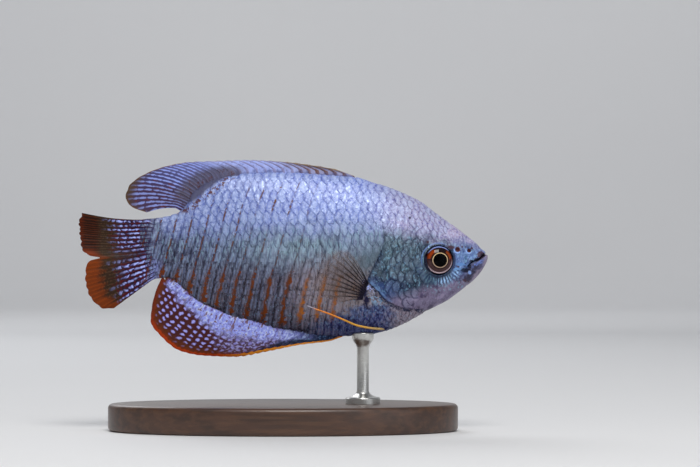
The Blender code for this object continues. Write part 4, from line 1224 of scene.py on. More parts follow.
@dataclass
class Skin:
    """The flesh's one skin: snout, jaws, gill covers, trunk and tail stem without a seam."""

    form: FishForm
    lattice: Lattice
    around: int = 240
    FOREMOST = 37.58  # the solids' foremost place
    CHEEK_PLATE = [(24.9, 2.2), (24.4, -0.8), (24.3, -3.6), (25.3, -6.2), (28.2, -7.3), (31.8, -5.6)]
    LIP_FOLD = [(33.2, -2.7), (33.1, -4), (33.6, -5.6)]
    NOSTRILS = [(31.84, 1.19, 0.42), (33.95, 1, 0.36)]  # along, height, radius
    PORES = [(26.4, 2.6), (31.9, -2.07), (32.9, 1.5), (32.95, 0.6)]
    REPLACED = ("head", "lower_jaw", "gill_cover_right", "gill_cover_left", "torso", "tail_stem")

    def stations(self) -> Array:
        """Places of the rings from the snout to the tail, closest where the face needs them."""
        tip = self.form.SNOUT_END - np.array([0, 0.004, 0.016, 0.04, 0.08, 0.13, 0.19, 0.26, 0.34, 0.43])
        face, cheek, trunk = np.arange(36.93, 30, -0.1), np.arange(30, 13, -0.15), np.arange(13, -26, -0.45)
        return np.concatenate([tip, face, cheek, trunk, [-26.15, self.form.TAIL_END]])

    def relief(self, points: Array) -> Array:
        """How far the skin stands proud of the plain loft.

        Args:
            points: places of the loft.

        Returns:
            Millimetres outwards for each.
        """
        x, z = points[:, 0], points[:, 2]
        gill, mouth = self.form.gill.measure(x, z)[0], -self.form.mouth.measure(x, z)[0]
        eye = self.form.eye_distance(points)
        open_gill = smooth(z, 4.6, 2.8)
        rise = self.form.bulge(x, z) * (smooth(gill, -0.05, 0.1) * open_gill + (1 - open_gill))
        rise -= self.lattice.sink(x) * self.lattice.cover(x, z) * (1 - 0.6 * bell(gill - 0.1, 0.25) * open_gill)
        seam = (0.16 + 0.1 * smooth(z, -4.0, -7.0)) * bell(gill + 0.1, 0.22)
        rise -= seam * open_gill * smooth(x, 28.6, 27.0)
        rise -= 0.1 * bell(Course(self.CHEEK_PLATE).measure(x, z)[0], 0.3) * smooth(x, 32.0, 30.5)
        rise += 0.2 * bell(eye - 2.86, 0.2) - 1.9 * smooth(eye, 2.74, 2.4)
        upper_lip = 0.3 * bell(mouth - 0.42, 0.28) * smooth(x, 37.2, 36.0)
        lower_lip = 0.24 * bell(mouth + 0.44, 0.3) * smooth(x, 37.7, 36.9)
        rise += smooth(x, 33.1, 34.2) * (upper_lip + lower_lip)
        rise -= smooth(x, 33.0, 33.6) * 0.34 * bell(mouth, 0.13)
        rise -= 0.12 * bell(Course(self.LIP_FOLD).measure(x, z)[0], 0.18) * smooth(z, -6.0, -5.0)
        for along, height, radius in self.NOSTRILS:
            far = np.hypot(x - along, z - height)
            rise += 0.09 * bell(far - radius - 0.12, 0.12) - 0.5 * smooth(far, radius + 0.04, radius * 0.45)
        for along, height in self.PORES:
            rise -= 0.1 * bell(np.hypot(x - along, z - height), 0.16)
        eye_x, eye_z = x - self.form.EYE[0], z - self.form.EYE[1]
        spokes = 0.5 - 0.5 * np.cos(2 * math.pi * 4.2 * np.arctan2(eye_x, eye_z))
        rise += 0.07 * spokes * bell(eye - 4.1, 0.7) * smooth(z, -2.6, -3.6) * smooth(x, 31.0, 29.5)
        return rise

    def build(self, material: Material) -> Object:
        """Lofts the skin from a ball whose rings become the fish's sections.

        Args:
            material: the flesh's finish.

        Returns:
            The skin.
        """
        stations, form = self.stations(), self.form
        rings = len(stations) - 1
        bm, ring, turn = ball(self.around, rings)
        x = stations[ring]
        points = form.section(x, turn)
        pole = (ring == 0) | (ring == rings)
        points[pole, 1] = 0.0
        points[pole, 2] = form.middle(x)[1][pole]
        outward = form.outward(x, turn)
        outward[ring <= 1] = (1.0, 0.0, 0.0)
        outward[ring >= rings - 1] = (-1.0, 0.0, 0.0)
        rise = self.relief(points)
        rise[ring >= rings - 2] = 0.0
        placed = points + outward * rise[:, None]
        placed[:, 0] = np.minimum(placed[:, 0], self.FOREMOST)
        put_points(bm, placed)
        side_view = points[:, 0], points[:, 2]
        gill, mouth = form.gill.measure(*side_view)[0], -form.mouth.measure(*side_view)[0]
        put_layer(bm, "lie", self.lattice.column(*side_view), np.clip(gill, -9, 9), np.clip(mouth, -9, 9))
        self.unwrap(bm, ring / rings, turn)
        bmesh.ops.recalc_face_normals(bm, faces=bm.faces)
        return finish_piece("fish_skin", bm, material, self.REPLACED)

    @staticmethod
    def unwrap(bm: Shape, share: Array, turn: Array) -> None:
        """Lays the skin flat: snout to tail across, and round the section upwards from a seam along the belly.

        Args:
            bm: the skin.
            share: each vertex's share of the way from snout to tail.
            turn: its angle round the section.
        """
        around = ((turn + math.pi / 2) / (2 * math.pi)) % 1.0
        layer = bm.loops.layers.uv.new("OFBake")
        bm.verts.index_update()
        for face in bm.faces:
            marks = [around[loop.vert.index] for loop in face.loops]
            ends = [share[loop.vert.index] in (0.0, 1.0) for loop in face.loops]
            wraps = max(marks) - min(mark for mark, end in zip(marks, ends) if not end) > 0.5
            marks = [1.0 if wraps and mark < 1e-4 else mark for mark in marks]
            level = sum(mark for mark, end in zip(marks, ends) if not end) / (len(marks) - sum(ends))
            for loop, mark, end in zip(face.loops, marks, ends):
                loop[layer].uv = flat_place(share[loop.vert.index], level if end else mark)


class Seed(NamedTuple):
    """Where one scale lies and how large it is, in millimetres and radians."""

    edge: float  # its free edge's place along the fish
    arc: float  # its middle's arc from the row line
    length: float
    half: float  # half its height
    curve: float  # how far the free edge's corners draw back, as a share of the length
    shear: float = 0.0  # how far it slants for each millimetre up
    turn: float = 0.0
    lift: float = 0.0
    raised: float = 0.0  # one on the gill cover


@dataclass
class Scales:
    """The single scales of a side, each a thin solid whose root dips under the one ahead."""

    form: FishForm
    lattice: Lattice
    thickness: float = 0.05
    seed: int = 7
    ACROSS = (-1.0, -1.0, -0.72, -0.38, 0.0, 0.38, 0.72, 1.0, 1.0)
    ALONG = (0.0, 0.0, 0.5, 0.8, 1.0, 1.0)
    ROWS, COLUMNS = range(-13, 13), range(-16, 28)
    PATCH, UNDER_PATCH = 0.0015, 0.0002  # half the size of a scale's two sides on the flat picture

    def trunk_seeds(self) -> list[Seed]:
        """The trunk's and nape's scales, on the slanting lattice."""
        seeds, form, lattice = [], self.form, self.lattice
        chance = np.random.default_rng(self.seed)
        for row in self.ROWS:
            for column in self.COLUMNS:
                x = float(lattice.place(column))
                for _ in range(4):
                    arc = row * float(lattice.row_pitch(x))
                    z = self.height(x, arc)
                    x = float(lattice.place(column) + lattice.lean(z))
                pitch = float(lattice.row_pitch(x))
                low, high = (np.interp(x, form.stations, ends) for ends in (form.lowest, form.highest))
                if not (-26.0 < x < 31.0 and low + 0.35 * pitch < arc < high - 0.35 * pitch):
                    continue
                step = float(lattice.column_pitch(x))
                gill = self.gill(x, z)
                breast = z < -8.6 and x > 15.0 + 0.5 * (z + 12)
                if (z < 4.4 and gill > 0.0) or lattice.cover(x + 0.5 * step, z) < 0.5 or breast:
                    continue
                slant = float(lattice.slant(x, z))
                slope = float(lattice.lean(z + 0.5) - lattice.lean(z - 0.5))
                shake = chance.normal(0, 0.05, 3)
                seeds.append(Seed(x + shake[0], arc + shake[1], 2.3 * step, 0.84 * pitch, 0.34 - 0.2 * slant,
                                  shear=slope * slant, lift=0.15 * shake[2]))
        return seeds

    def field(self, rows: range, columns: range, start: tuple[float, float], pitch: tuple[float, float],
              size: tuple[float, float, float], shake: float) -> list[Seed]:
        """A patch of less even scales, each row half a step off the last.

        Args:
            rows: the rows' numbers.
            columns: the columns' numbers.
            start: the first free edge's place along the fish and its arc.
            pitch: steps along and up.
            size: length, half height and curve.
            shake: how uneven they are, as a share of the pitch.

        Returns:
            The seeds, before those outside the patch are left out.
        """
        chance = np.random.default_rng(self.seed + 1)
        seeds = []
        for row in rows:
            for column in columns:
                jolt = chance.normal(0, shake, 5)
                seeds.append(Seed(start[0] + pitch[0] * (column + 0.5 * (row % 2) + jolt[0]),
                                  start[1] + pitch[1] * (row + jolt[1]), size[0] * (1 + jolt[2]),
                                  size[1] * (1 + 0.6 * jolt[3]), size[2], turn=1.6 * jolt[4],
                                  lift=0.1 * jolt[2]))
        return seeds

    def height(self, x: float, arc: float) -> float:
        """The height of one place of the loft."""
        return float(self.form.height(np.array(x), np.array(arc)))

    def gill(self, x: float, z: float) -> float:
        """How far one place of the side view lies ahead of the gill line."""
        return float(self.form.gill.measure(np.array([x]), np.array([z]))[0][0])

    def cheek_seeds(self) -> list[Seed]:
        """The less even scales of the gill cover and cheek, with a row along the cover's free edge."""
        seeds = []
        for seed in self.field(range(-10, 4), range(0, 12), (15.2, 1.2), (1.36, 1.5), (2.7, 1.24, 0.3), 0.13):
            z = self.height(seed.edge, seed.arc)
            ahead = self.lattice.cover(seed.edge + 0.8, z)
            if -9.4 + 0.3 * (seed.edge - 18) < z < 4.2 and self.gill(seed.edge, z) > 1 and ahead > 0.5:
                seeds.append(seed._replace(raised=1.0))
        dots = self.form.gill.dots
        arcs = np.concatenate([[0], np.cumsum(np.hypot(*np.diff(dots, axis=0).T))])
        for mark in np.arange(10.6, 26.6, 1.15):
            behind, (x, z), before = (np.array([np.interp(spot, arcs, dots[:, k]) for k in (0, 1)])
                                      for spot in (mark - 0.3, mark, mark + 0.3))
            way = before - behind
            ahead = np.array([-way[1], way[0]]) / np.hypot(*way)
            turns = np.linspace(-1.4, 1.4, 141)
            heights = self.form.section(np.full(141, x), turns)[:, 2]
            arc = float(np.interp(np.interp(z, heights, turns), *self.arcs_at(x)))
            seeds.append(Seed(x + 0.12 * ahead[0], arc + 0.12 * ahead[1], 2.3, 0.95, 0.22,
                              turn=math.atan2(ahead[1], ahead[0]), raised=1.0))
        return seeds

    def arcs_at(self, x: float) -> tuple[Array, Array]:
        """Turns, and the arcs that they lie at, of the section there."""
        arcs = np.arange(-15.0, 15.0, 0.25)
        return self.form.turn_at(np.full(len(arcs), x), arcs), arcs

    def breast_seeds(self) -> list[Seed]:
        """The small scales of the breast, below the gill cover."""
        seeds = []
        for seed in self.field(range(-19, -9), range(0, 14), (13.2, 1.0), (1.0, 1.1), (1.9, 0.92, 0.3), 0.1):
            z = self.height(seed.edge, seed.arc)
            low = np.interp(seed.edge, self.form.stations, self.form.lowest)
            inside = z < -8.3 and seed.arc > low + 0.4 and 15 + 0.5 * (z + 12) < seed.edge < 25.6
            if inside and self.gill(seed.edge, z) < -0.1:
                seeds.append(seed)
        return seeds

    def build(self, name: str, seeds: Sequence[Seed], side: Side, material: Material) -> Object:
        """Makes the scales of the seeds as one mesh.

        Args:
            name: the piece's name.
            seeds: where the scales lie.
            side: the side of the fish.
            material: the flesh's finish.

        Returns:
            The coat.
        """
        columns, rows, count = len(self.ACROSS), len(self.ALONG), len(seeds)
        bm = bmesh.new()
        bmesh.ops.create_grid(bm, x_segments=columns * count - 1, y_segments=rows - 1, size=1.0)
        local = np.array([vert.co[:2] for vert in bm.verts])
        spot = np.rint((local[:, 0] + 1) / 2 * (columns * count - 1)).astype(int)
        i, number = spot % columns, spot // columns
        k = np.rint((local[:, 1] + 1) / 2 * (rows - 1)).astype(int)
        between = [face for face in bm.faces if len({number[vert.index] for vert in face.verts}) > 1]
        bmesh.ops.delete(bm, geom=between, context="FACES_ONLY")
        bmesh.ops.delete(bm, geom=[edge for edge in bm.edges if not edge.link_faces], context="EDGES")
        across, along = np.array(self.ACROSS)[i], np.array(self.ALONG)[k]
        under = (i == 0) | (i == columns - 1) | (k == 0) | (k == rows - 1)
        edge, arc, length, half, curve, shear, angle, lift, raised = np.array(seeds).T[:, number]
        drawn = np.abs(across) ** 2.2 * np.where(along > 0.4, curve * along, -0.1)
        ahead, beside = length * (0.98 * (1 - along) + drawn), half * across * (1 - 0.16 * (1 - along))
        x = edge + ahead * np.cos(angle) - beside * np.sin(angle) + shear * beside
        height = arc + ahead * np.sin(angle) + beside * np.cos(angle)
        turn = self.form.turn_at(x, height)
        points, outward = self.form.section(x, turn), self.form.outward(x, turn)
        sink = self.lattice.sink(x)
        rise = -sink - 0.05 + (sink + 0.03) * along ** 0.9 - 0.035 * across ** 2 + lift
        rise += raised * self.form.bulge(points[:, 0], points[:, 2]) - np.where(under, self.thickness, 0.0)
        points = points + outward * rise[:, None]
        column = self.lattice.column(points[:, 0], points[:, 2])
        gill, _ = self.form.gill.measure(points[:, 0], points[:, 2])
        edge_gill, _ = self.form.gill.measure(edge, self.form.height(edge, arc))
        gill = np.where((raised > 0) | (edge_gill > 0), np.maximum(gill, 0.45), np.minimum(gill, -0.3))
        points[:, 1] *= side.value
        put_points(bm, points)
        tone = np.random.default_rng(self.seed + 2).random(count)[number]
        put_layer(bm, "scale", along, (across + 1) / 2, tone)
        put_layer(bm, "lie", column, np.clip(gill, -9, 9), np.full(len(gill), 9.0))
        self.unwrap(bm, edge + length, arc, side, joined(along - 0.5, across))
        self.close(bm)
        return finish_piece(name, bm, material, sharp=50)

    def unwrap(self, bm: Shape, root: Array, arc: Array, side: Side, local: Array) -> None:
        """Gives each scale a small patch at its root's place on the skin laid flat.

        Args:
            bm: the scales.
            root: for each vertex, the place of its scale's root along the fish.
            arc: the arc of its scale's middle.
            side: the side of the fish.
            local: the vertex's place on its scale.
        """
        stations = Skin(self.form, self.lattice).stations()
        share = np.interp(-root, -stations, np.linspace(0, 1, len(stations)))
        turn = self.form.turn_at(root, arc)
        turn = turn if side is Side.LEFT else math.pi - turn
        around = ((turn + math.pi / 2) / (2 * math.pi)) % 1.0
        patch = flat_place(share, around) + self.PATCH * local
        layer = bm.loops.layers.uv.new("OFBake")
        bm.verts.index_update()
        for face in bm.faces:
            for loop in face.loops:
                loop[layer].uv = patch[loop.vert.index]

    def close(self, bm: Shape) -> None:
        """Closes each scale's underside and turns its faces outwards."""
        border = [edge for edge in bm.edges if edge.is_boundary]
        filled = bmesh.ops.holes_fill(bm, edges=border, sides=0)["faces"]
        layer = bm.loops.layers.uv.verify()
        for face in filled:
            corner = face.loops[0].vert.link_loops[0][layer].uv.copy()
            for i, loop in enumerate(face.loops):
                turn = 2 * math.pi * i / len(face.loops)
                loop[layer].uv = corner + self.UNDER_PATCH * Vector((math.cos(turn), math.sin(turn)))
        bmesh.ops.recalc_face_normals(bm, faces=bm.faces)


@dataclass
class Blade(ABC):
    """A fin: thin skin over a fan of rays, closed along its edge and its root."""

    form: FishForm
    name: str
    slot: str
    ray_count: int
    rows: int = 36
    per_ray: int = 8
    skin: float = 0.12
    ray_root: float = 0.5
    ray_tip: float = 0.2

    @abstractmethod
    def place(self, share: Array, reach: Array) -> Array:
        """The point at that share along the fin and that share of the way from root to edge."""

    def rim(self, ray: Array) -> Array:
        """How far the edge reaches at each ray's number, one for the full way."""
        return np.ones(len(ray))

    def forks(self, ray: Array) -> Array:
        """Where along its length a ray forks."""
        return np.full(len(ray), 0.5)

    def relief(self, ray: Array, reach: Array) -> Array:
        """How strongly a ray stands out: one on its ridge, zero on the skin between."""
        gap = np.abs(ray - np.rint(ray))
        fork = smooth(reach, self.forks(ray), self.forks(ray) + 0.25)
        whole, branch = np.maximum(1 - gap / 0.17, 0), np.maximum(1 - np.abs(gap - 0.2) / 0.14, 0)
        return whole * (1 - fork) + branch * fork * 0.8

    def build(self, material: Material) -> Object:
        """Makes the fin as a flat sleeve that is pinched shut at its edge, its ends and its root.

        Args:
            material: its finish.

        Returns:
            The fin.
        """
        columns = (self.ray_count - 1) * self.per_ray
        bm = bmesh.new()
        bmesh.ops.create_grid(bm, x_segments=columns, y_segments=2 * self.rows, size=1.0)
        flat = np.array([vert.co[:2] for vert in bm.verts])
        share, reach = (flat[:, 0] + 1) / 2, 1 - np.abs(flat[:, 1])
        ray = share * (self.ray_count - 1)
        drawn = reach * self.rim(ray)
        middle = self.place(share, drawn)
        step = 0.01
        along = self.place(np.minimum(share + step, 1), drawn) - self.place(np.maximum(share - step, 0), drawn)
        out = self.place(share, drawn + step) - self.place(share, drawn - step)
        across = unit(np.cross(along, out))
        across *= np.where(across[:, 1:2] < 0, -1.0, 1.0)
        bone = self.ray_root + (self.ray_tip - self.ray_root) * reach
        thick = self.skin + (bone - self.skin) * self.relief(ray, reach)
        thick += (self.ray_root - self.skin) * 0.7 * smooth(reach, 0.14, 0.0)
        closed = (np.minimum(1, (1 - reach) * 18) ** 0.5
                  * np.minimum(1, np.minimum(share, 1 - share) * 90) ** 0.5
                  * (reach > 0.5 / self.rows))
        put_points(bm, middle + across * (np.sign(flat[:, 1]) * thick * closed / 2)[:, None])
        whole = self.place(share, np.ones(len(share))) - self.place(share, np.zeros(len(share)))
        put_layer(bm, "fin", ray, drawn * np.linalg.norm(whole, axis=1), reach)
        bmesh.ops.remove_doubles(bm, verts=bm.verts, dist=0.0005)
        bmesh.ops.recalc_face_normals(bm, faces=bm.faces)
        return finish_piece(self.name, bm, material, (self.name.replace("_blade", ""),), sharp=70)


@dataclass
class MedianFin(Blade):
    """The dorsal or the anal fin, rooted along the back or the belly."""

    rays: Table = ()
    outward: int = 1
    sway: float = 0.5
    spines: float = 0.66
    notch: float = 0.06

    def __post_init__(self) -> None:
        """Prepares the curves through the rays' roots and tips."""
        self.root, self.tip_along, self.tip_height = curves(self.rays)
        self.line = self.form.back if self.outward > 0 else self.form.belly

    def place(self, share: Array, reach: Array) -> Array:
        """The point at that share along the fin and that share of the way from root to edge."""
        root, step, lead = self.root(share), 0.2, smooth(share, 0.0, 0.07)
        slope = unit(joined(np.full(len(root), 2 * step), self.line(root + step) - self.line(root - step)))
        sunk = 0.5 * lead - 0.2 - 1.1 * smooth(reach, 0.12, 0.0)
        base_x = root - slope[:, 1] * self.outward * sunk
        base_z = self.line(root) + slope[:, 0] * self.outward * sunk
        tip_x, tip_z = self.tip_along(share), self.tip_height(share)
        length = np.hypot(tip_x - base_x, tip_z - base_z)
        x = base_x + (tip_x - base_x) * reach
        z = base_z + (tip_z - base_z) * reach + self.outward * 0.06 * length * np.sin(math.pi * reach)
        sway = self.sway * reach * reach * np.sin(math.pi * (2.1 * share - 0.4)) * np.minimum(1.0, length / 5)
        return joined(x, sway, z)

    def rim(self, ray: Array) -> Array:
        """Notched between the spines in front, softly waved behind."""
        share = ray / (self.ray_count - 1)
        gap, start = np.abs(ray - np.rint(ray)) * 2, 0.2 + 0.8 * smooth(share, -0.01, 0.06)
        spiny = smooth(share, self.spines + 0.06, self.spines - 0.04)
        return start * (1.0 - gap ** 1.4 * (self.notch * spiny + 0.012))

    def forks(self, ray: Array) -> Array:
        """Spines never fork; soft rays do halfway."""
        share = ray / (self.ray_count - 1)
        return np.where(share < self.spines, 2.0, 0.45)


@dataclass
class TailFin(Blade):
    """The tail fin with the slit between its two lobes."""

    ROOT = -23.5
    RAYS = [
        (0, 6.7, -36.9, 7.9), (0.08, 5.9, -37.5, 6.4), (0.3, 3.4, -37.3, 3.4), (0.44, 1.9, -36.7, 0.9),
        (0.5, 1.2, -35.4, 0.05), (0.53, 0.9, -33.6, -0.35), (0.56, 0.6, -35.2, -0.85),
        (0.6, 0.1, -36.2, -2), (0.74, -1.5, -36.1, -5.4), (0.86, -2.8, -35, -8), (0.94, -3.6, -33, -9.7),
        (1, -4.1, -31, -9.6),
    ]

    def __post_init__(self) -> None:
        """Prepares the curves through the rays' roots and tips."""
        self.root_height, self.tip_along, self.tip_height = curves(self.RAYS)

    def place(self, share: Array, reach: Array) -> Array:
        """The point at that share down the fin and that share of the way from root to edge."""
        root, sunk = self.root_height(share), 1.3 * smooth(reach, 0.1, 0.0)
        base_x = self.ROOT + sunk
        x = base_x + (self.tip_along(share) - base_x) * reach
        z = root + (self.tip_height(share) - root) * reach - 0.5 * np.sin(math.pi * reach) * (1 - share)
        z = z + (1.4 - z) * 0.12 * smooth(reach, 0.1, 0.0)
        sway = 0.9 * np.maximum(reach, 0) ** 1.5 * np.sin(math.pi * (2.2 * share + 0.1))
        return joined(x, sway, z)

    def rim(self, ray: Array) -> Array:
        """Softly waved, a little frayed between the rays."""
        gap = np.abs(ray - np.rint(ray)) * 2
        return 1.0 - 0.016 * gap ** 1.5 - 0.006 * (1 + np.sin(2.7 * ray))


@dataclass
class PectoralFin(Blade):
    """The clear fan behind the gill cover, held a little off the flank."""

    side: Side = Side.RIGHT
    RAYS = [
        (0, 15.7, -5.2, 13, -0.3), (0.15, 15.7, -5.5, 11.6, 1.2), (0.32, 15.6, -5.9, 9.4, 1.4),
        (0.48, 15.5, -6.3, 7.2, -0.3), (0.64, 15.3, -6.8, 6.2, -2.8), (0.82, 15.1, -7.3, 5.6, -5.9),
        (0.92, 14.9, -7.7, 7.6, -7.6), (1, 14.7, -8, 10.4, -8.6),
    ]

    def __post_init__(self) -> None:
        """Prepares the curves through the rays' roots and tips."""
        self.curves = curves(self.RAYS)

    def place(self, share: Array, reach: Array) -> Array:
        """The point at that share down the fan and that share of the way from root to edge."""
        root_x, root_z, tip_x, tip_z = (curve(share) for curve in self.curves)
        x = root_x + (tip_x - root_x) * reach
        z = root_z + (tip_z - root_z) * reach + 0.35 * np.sin(math.pi * reach)
        inner, outer = self.form.flank(root_x, root_z) - 0.6, self.form.flank(tip_x, tip_z) + 1.5
        out = inner + (outer - inner) * reach + 1.5 * np.sin(math.pi * np.clip(reach, 0, 1) ** 0.8)
        out += 0.12 * np.sin(2 * math.pi * share * 2.5) * smooth(reach, 0.3, 1.0)
        return joined(x, self.side.value * out, z)

    def rim(self, ray: Array) -> Array:
        """Scalloped between the rays."""
        return 1.0 - 0.03 * (np.abs(ray - np.rint(ray)) * 2) ** 1.5


@dataclass
class Feeler:
    """One thread-like pelvic fin, laid back along the belly."""

    form: FishForm
    side: Side
    steps: int = 90
    around: int = 16
    PATH = [(18.7, -13.3, -1.1), (17.9, -13.3, 0.1), (16.6, -13.2, 0.75), (13.8, -12.7, 1.1), (10.9, -11.5, 1),
            (8.2, -10.4, 0.95), (6.2, -9.7, 0.95), (4.4, -9, 1)]

    def line(self, share: Array) -> Array:
        """The thread's middle at each share of its length."""
        path = curves([(i, *row) for i, row in enumerate(self.PATH)])
        along, height, off = (curve(share * (len(self.PATH) - 1)) for curve in path)
        return joined(along, self.side.value * (self.form.flank(along, height) + off), height)

    def build(self, material: Material) -> Object:
        """Draws a ball out along the thread's line.

        Args:
            material: its finish.

        Returns:
            The feeler.
        """
        bm, ring, turn = ball(self.around, self.steps)
        share = ring / self.steps
        way = unit(self.line(np.minimum(share + 0.01, 1)) - self.line(np.maximum(share - 0.01, 0)))
        sideways = unit(np.cross(way, np.array([0.0, 0.0, 1.0])))
        upwards = np.cross(sideways, way)
        radius = 0.235 * (1 - 0.55 * share ** 1.4) * np.minimum(1, 7 * np.sqrt(np.minimum(share, 1 - share)))
        radius *= 1 + 0.05 * np.sin(share * 160)
        off = radius[:, None] * (np.cos(turn)[:, None] * sideways + np.sin(turn)[:, None] * upwards)
        put_points(bm, self.line(share) + off)
        bmesh.ops.recalc_face_normals(bm, faces=bm.faces)
        word = self.side.word
        return finish_piece(f"feeler_thread_{word}", bm, material, (f"pelvic_feeler_{word}",))


@dataclass
class Eye:
    """One eyeball: a clear dome over iris and pupil, set in its socket."""

    form: FishForm
    side: Side
    around: int = 96
    wider: float = 1.045  # its rings are a little wider than high

    def build(self, material: Material) -> Object:
        """Turns the eyeball's outline about the axis of sight.

        Args:
            material: the eye's finish.

        Returns:
            The eyeball.
        """
        radius, depth = self.form.EYE_RADIUS - 0.03, self.form.EYE_DEPTH - 0.02
        front = [radius * math.sin(angle) for angle in np.linspace(0, math.pi / 2, 34)]
        outline = [(far, depth * math.sqrt(max(0.0, 1 - (far / radius) ** 2))) for far in front]
        outline += [(radius * 0.8, -0.8), (radius * 0.45, -1.1), (0.0, -1.2)]
        bm = turned(outline, self.around)
        local = np.array([vert.co for vert in bm.verts])
        far = np.hypot(local[:, 0] / self.wider, local[:, 1])
        dial = local[:, :2] / np.maximum(far, 0.05)[:, None]
        put_layer(bm, "dial", np.where(local[:, 2] < -0.1, 2.6, far), dial[:, 0], dial[:, 1])
        axis = Vector(self.form.eye_axis(self.side))
        ahead = Vector((0, 0, 1)).cross(axis) * -self.side.value
        pose = Matrix((ahead, Vector((0, 0, 1)), axis)).transposed().to_4x4()
        place = Matrix.Translation(self.form.eye_middle(self.side))
        bmesh.ops.transform(bm, matrix=place @ pose, verts=bm.verts)
        bmesh.ops.recalc_face_normals(bm, faces=bm.faces)
        return finish_piece(f"eyeball_{self.side.word}", bm, material, (f"eye_{self.side.word}",))


@dataclass
class Stand:
    """The oval base and its one rod with flange and saddle."""

    form: FishForm
    length: float = 64.0
    width: float = 36.0
    thickness: float = 5.0
    bevel: float = 0.8
    rod_place: float = 14.6
    rod_radius: float = 1.1
    flange_radius: float = 3.2
    flange_thickness: float = 0.9
    saddle_radius: float = 2.0
    saddle_rise: float = 0.9

    def build_base(self, material: Material) -> Object:
        """The oval board with rounded edges.

        Args:
            material: the wood.

        Returns:
            The base.
        """
        bm = bmesh.new()
        made = bmesh.ops.create_cone(bm, cap_ends=True, segments=160, radius1=0.5, radius2=0.5,
                                     depth=self.thickness)
        bmesh.ops.scale(bm, vec=(self.length, self.width, 1), verts=made["verts"])
        rims = [edge for edge in bm.edges if abs(edge.verts[0].co.z - edge.verts[1].co.z) < 0.01]
        bmesh.ops.bevel(bm, geom=rims, offset=self.bevel, segments=5, profile=0.5, affect="EDGES", material=-1)
        bmesh.ops.translate(bm, vec=(0, 0, self.thickness / 2 - AXIS_HEIGHT), verts=bm.verts)
        return finish_piece("oval_board", bm, material, ("stand_base",), sharp=45)

    def build_rod(self, material: Material) -> Object:
        """The turned rod, from the flange on the board to the saddle under the keel.

        Args:
            material: the steel.

        Returns:
            The rod.
        """
        top, keel = self.thickness - AXIS_HEIGHT, float(self.form.belly(self.rod_place))
        foot = top + 0.3
        outline = [
            (0.0, keel + 0.5), (self.saddle_radius - 0.12, keel + self.saddle_rise - 0.35),
            (self.saddle_radius, keel + self.saddle_rise - 0.5), (self.saddle_radius, keel - 0.5),
            (1.75, keel - 1.05), (1.35, keel - 1.6), (self.rod_radius, keel - 2.2),
            (self.rod_radius, foot + 2.0), (1.3, foot + 1.55), (1.8, foot + 1.2),
            (2.6, foot + self.flange_thickness),
            (self.flange_radius - 0.15, foot + self.flange_thickness - 0.05),
            (self.flange_radius, foot + self.flange_thickness - 0.25), (self.flange_radius, foot - 0.28),
            (0.0, foot - 0.28),
        ]
        bm = turned(outline, 64)
        bmesh.ops.translate(bm, vec=(self.rod_place, 0, 0), verts=bm.verts)
        return finish_piece("turned_rod", bm, material, ("stand_rod",), sharp=30)


@dataclass
class Studio:
    """A pale paper cove, soft lamps and the camera."""

    distance: float = 600.0
    frame_width: float = 128.03
    aim: tuple[float, float] = (12.25, 4.1)  # along, height

    def build_cove(self, material: Material) -> None:
        """Turns the outline of floor and wall into a round cove."""
        bend = [(1000 + 300 * math.sin(a), 300 - 300 * math.cos(a)) for a in np.linspace(0, math.pi / 2, 12)]
        outline = [(0, 0), (400, 0), *bend, (1300, 1500)]
        bm = turned([(radius, height - AXIS_HEIGHT) for radius, height in outline], 96, 0.01)
        bmesh.ops.reverse_faces(bm, faces=bm.faces)
        make_object("studio_cove", bm, material)

    def add_lamp(self, name: str, place: tuple[float, float, float], size: float, power: float,
                 colour: Sequence[float], aim: tuple[float, float, float] = (5.0, 0.0, 0.0)) -> None:
        """Adds a square soft lamp.

        Args:
            name: the lamp's name.
            place: its middle, in millimetres from the fish's axis.
            size: its side in millimetres.
            power: its watts.
            colour: its tint.
            aim: the point that it looks at.
        """
        lamp = bpy.data.lights.new(name, "AREA")
        lamp.size, lamp.energy, lamp.color = size * MM, power, colour
        obj = bpy.data.objects.new(name, lamp)
        obj.location = Vector((place[0], place[1], place[2] + AXIS_HEIGHT)) * MM
        way = Vector((aim[0], aim[1], aim[2] + AXIS_HEIGHT)) * MM - obj.location
        obj.rotation_euler = way.to_track_quat("-Z", "Y").to_euler()
        obj.visible_camera = False
        bpy.context.scene.collection.objects.link(obj)

    def build(self, paper: Material) -> None:
        """Sets up cove, light and camera.

        Args:
            paper: the cove's finish.
        """
        self.build_cove(paper)
        for lamp in (("key_lamp", (60, -420, 560), 300, 3.3, (1.0, 0.99, 0.97)),
                     ("fill_lamp", (520, -520, 160), 500, 0.7, (0.93, 0.96, 1.0)),
                     ("back_lamp", (-260, 520, 460), 420, 1.6, (0.95, 0.97, 1.0)),
                     ("wall_lamp", (0, 700, 520), 500, 1.5, (0.97, 0.98, 1.0), (0.0, 1300.0, 400.0))):
            self.add_lamp(*lamp)
        scene, world = bpy.context.scene, bpy.data.worlds.new("studio_air")
        world.use_nodes = True
        air = world.node_tree.nodes["Background"].inputs
        air[0].default_value, air[1].default_value = (0.86, 0.9, 0.96, 1.0), 0.2
        scene.view_settings.view_transform, scene.world = "Standard", world
        data = bpy.data.cameras.new("camera")
        data.sensor_width = 36.0
        data.lens = 36.0 * self.distance / self.frame_width
        data.clip_start, data.clip_end = 0.05, 20.0
        camera = bpy.data.objects.new("camera", data)
        camera.location = Vector((self.aim[0], -self.distance, self.aim[1] + AXIS_HEIGHT)) * MM
        camera.rotation_euler = (math.pi / 2, 0.0, 0.0)
        scene.collection.objects.link(camera)
        scene.camera = camera


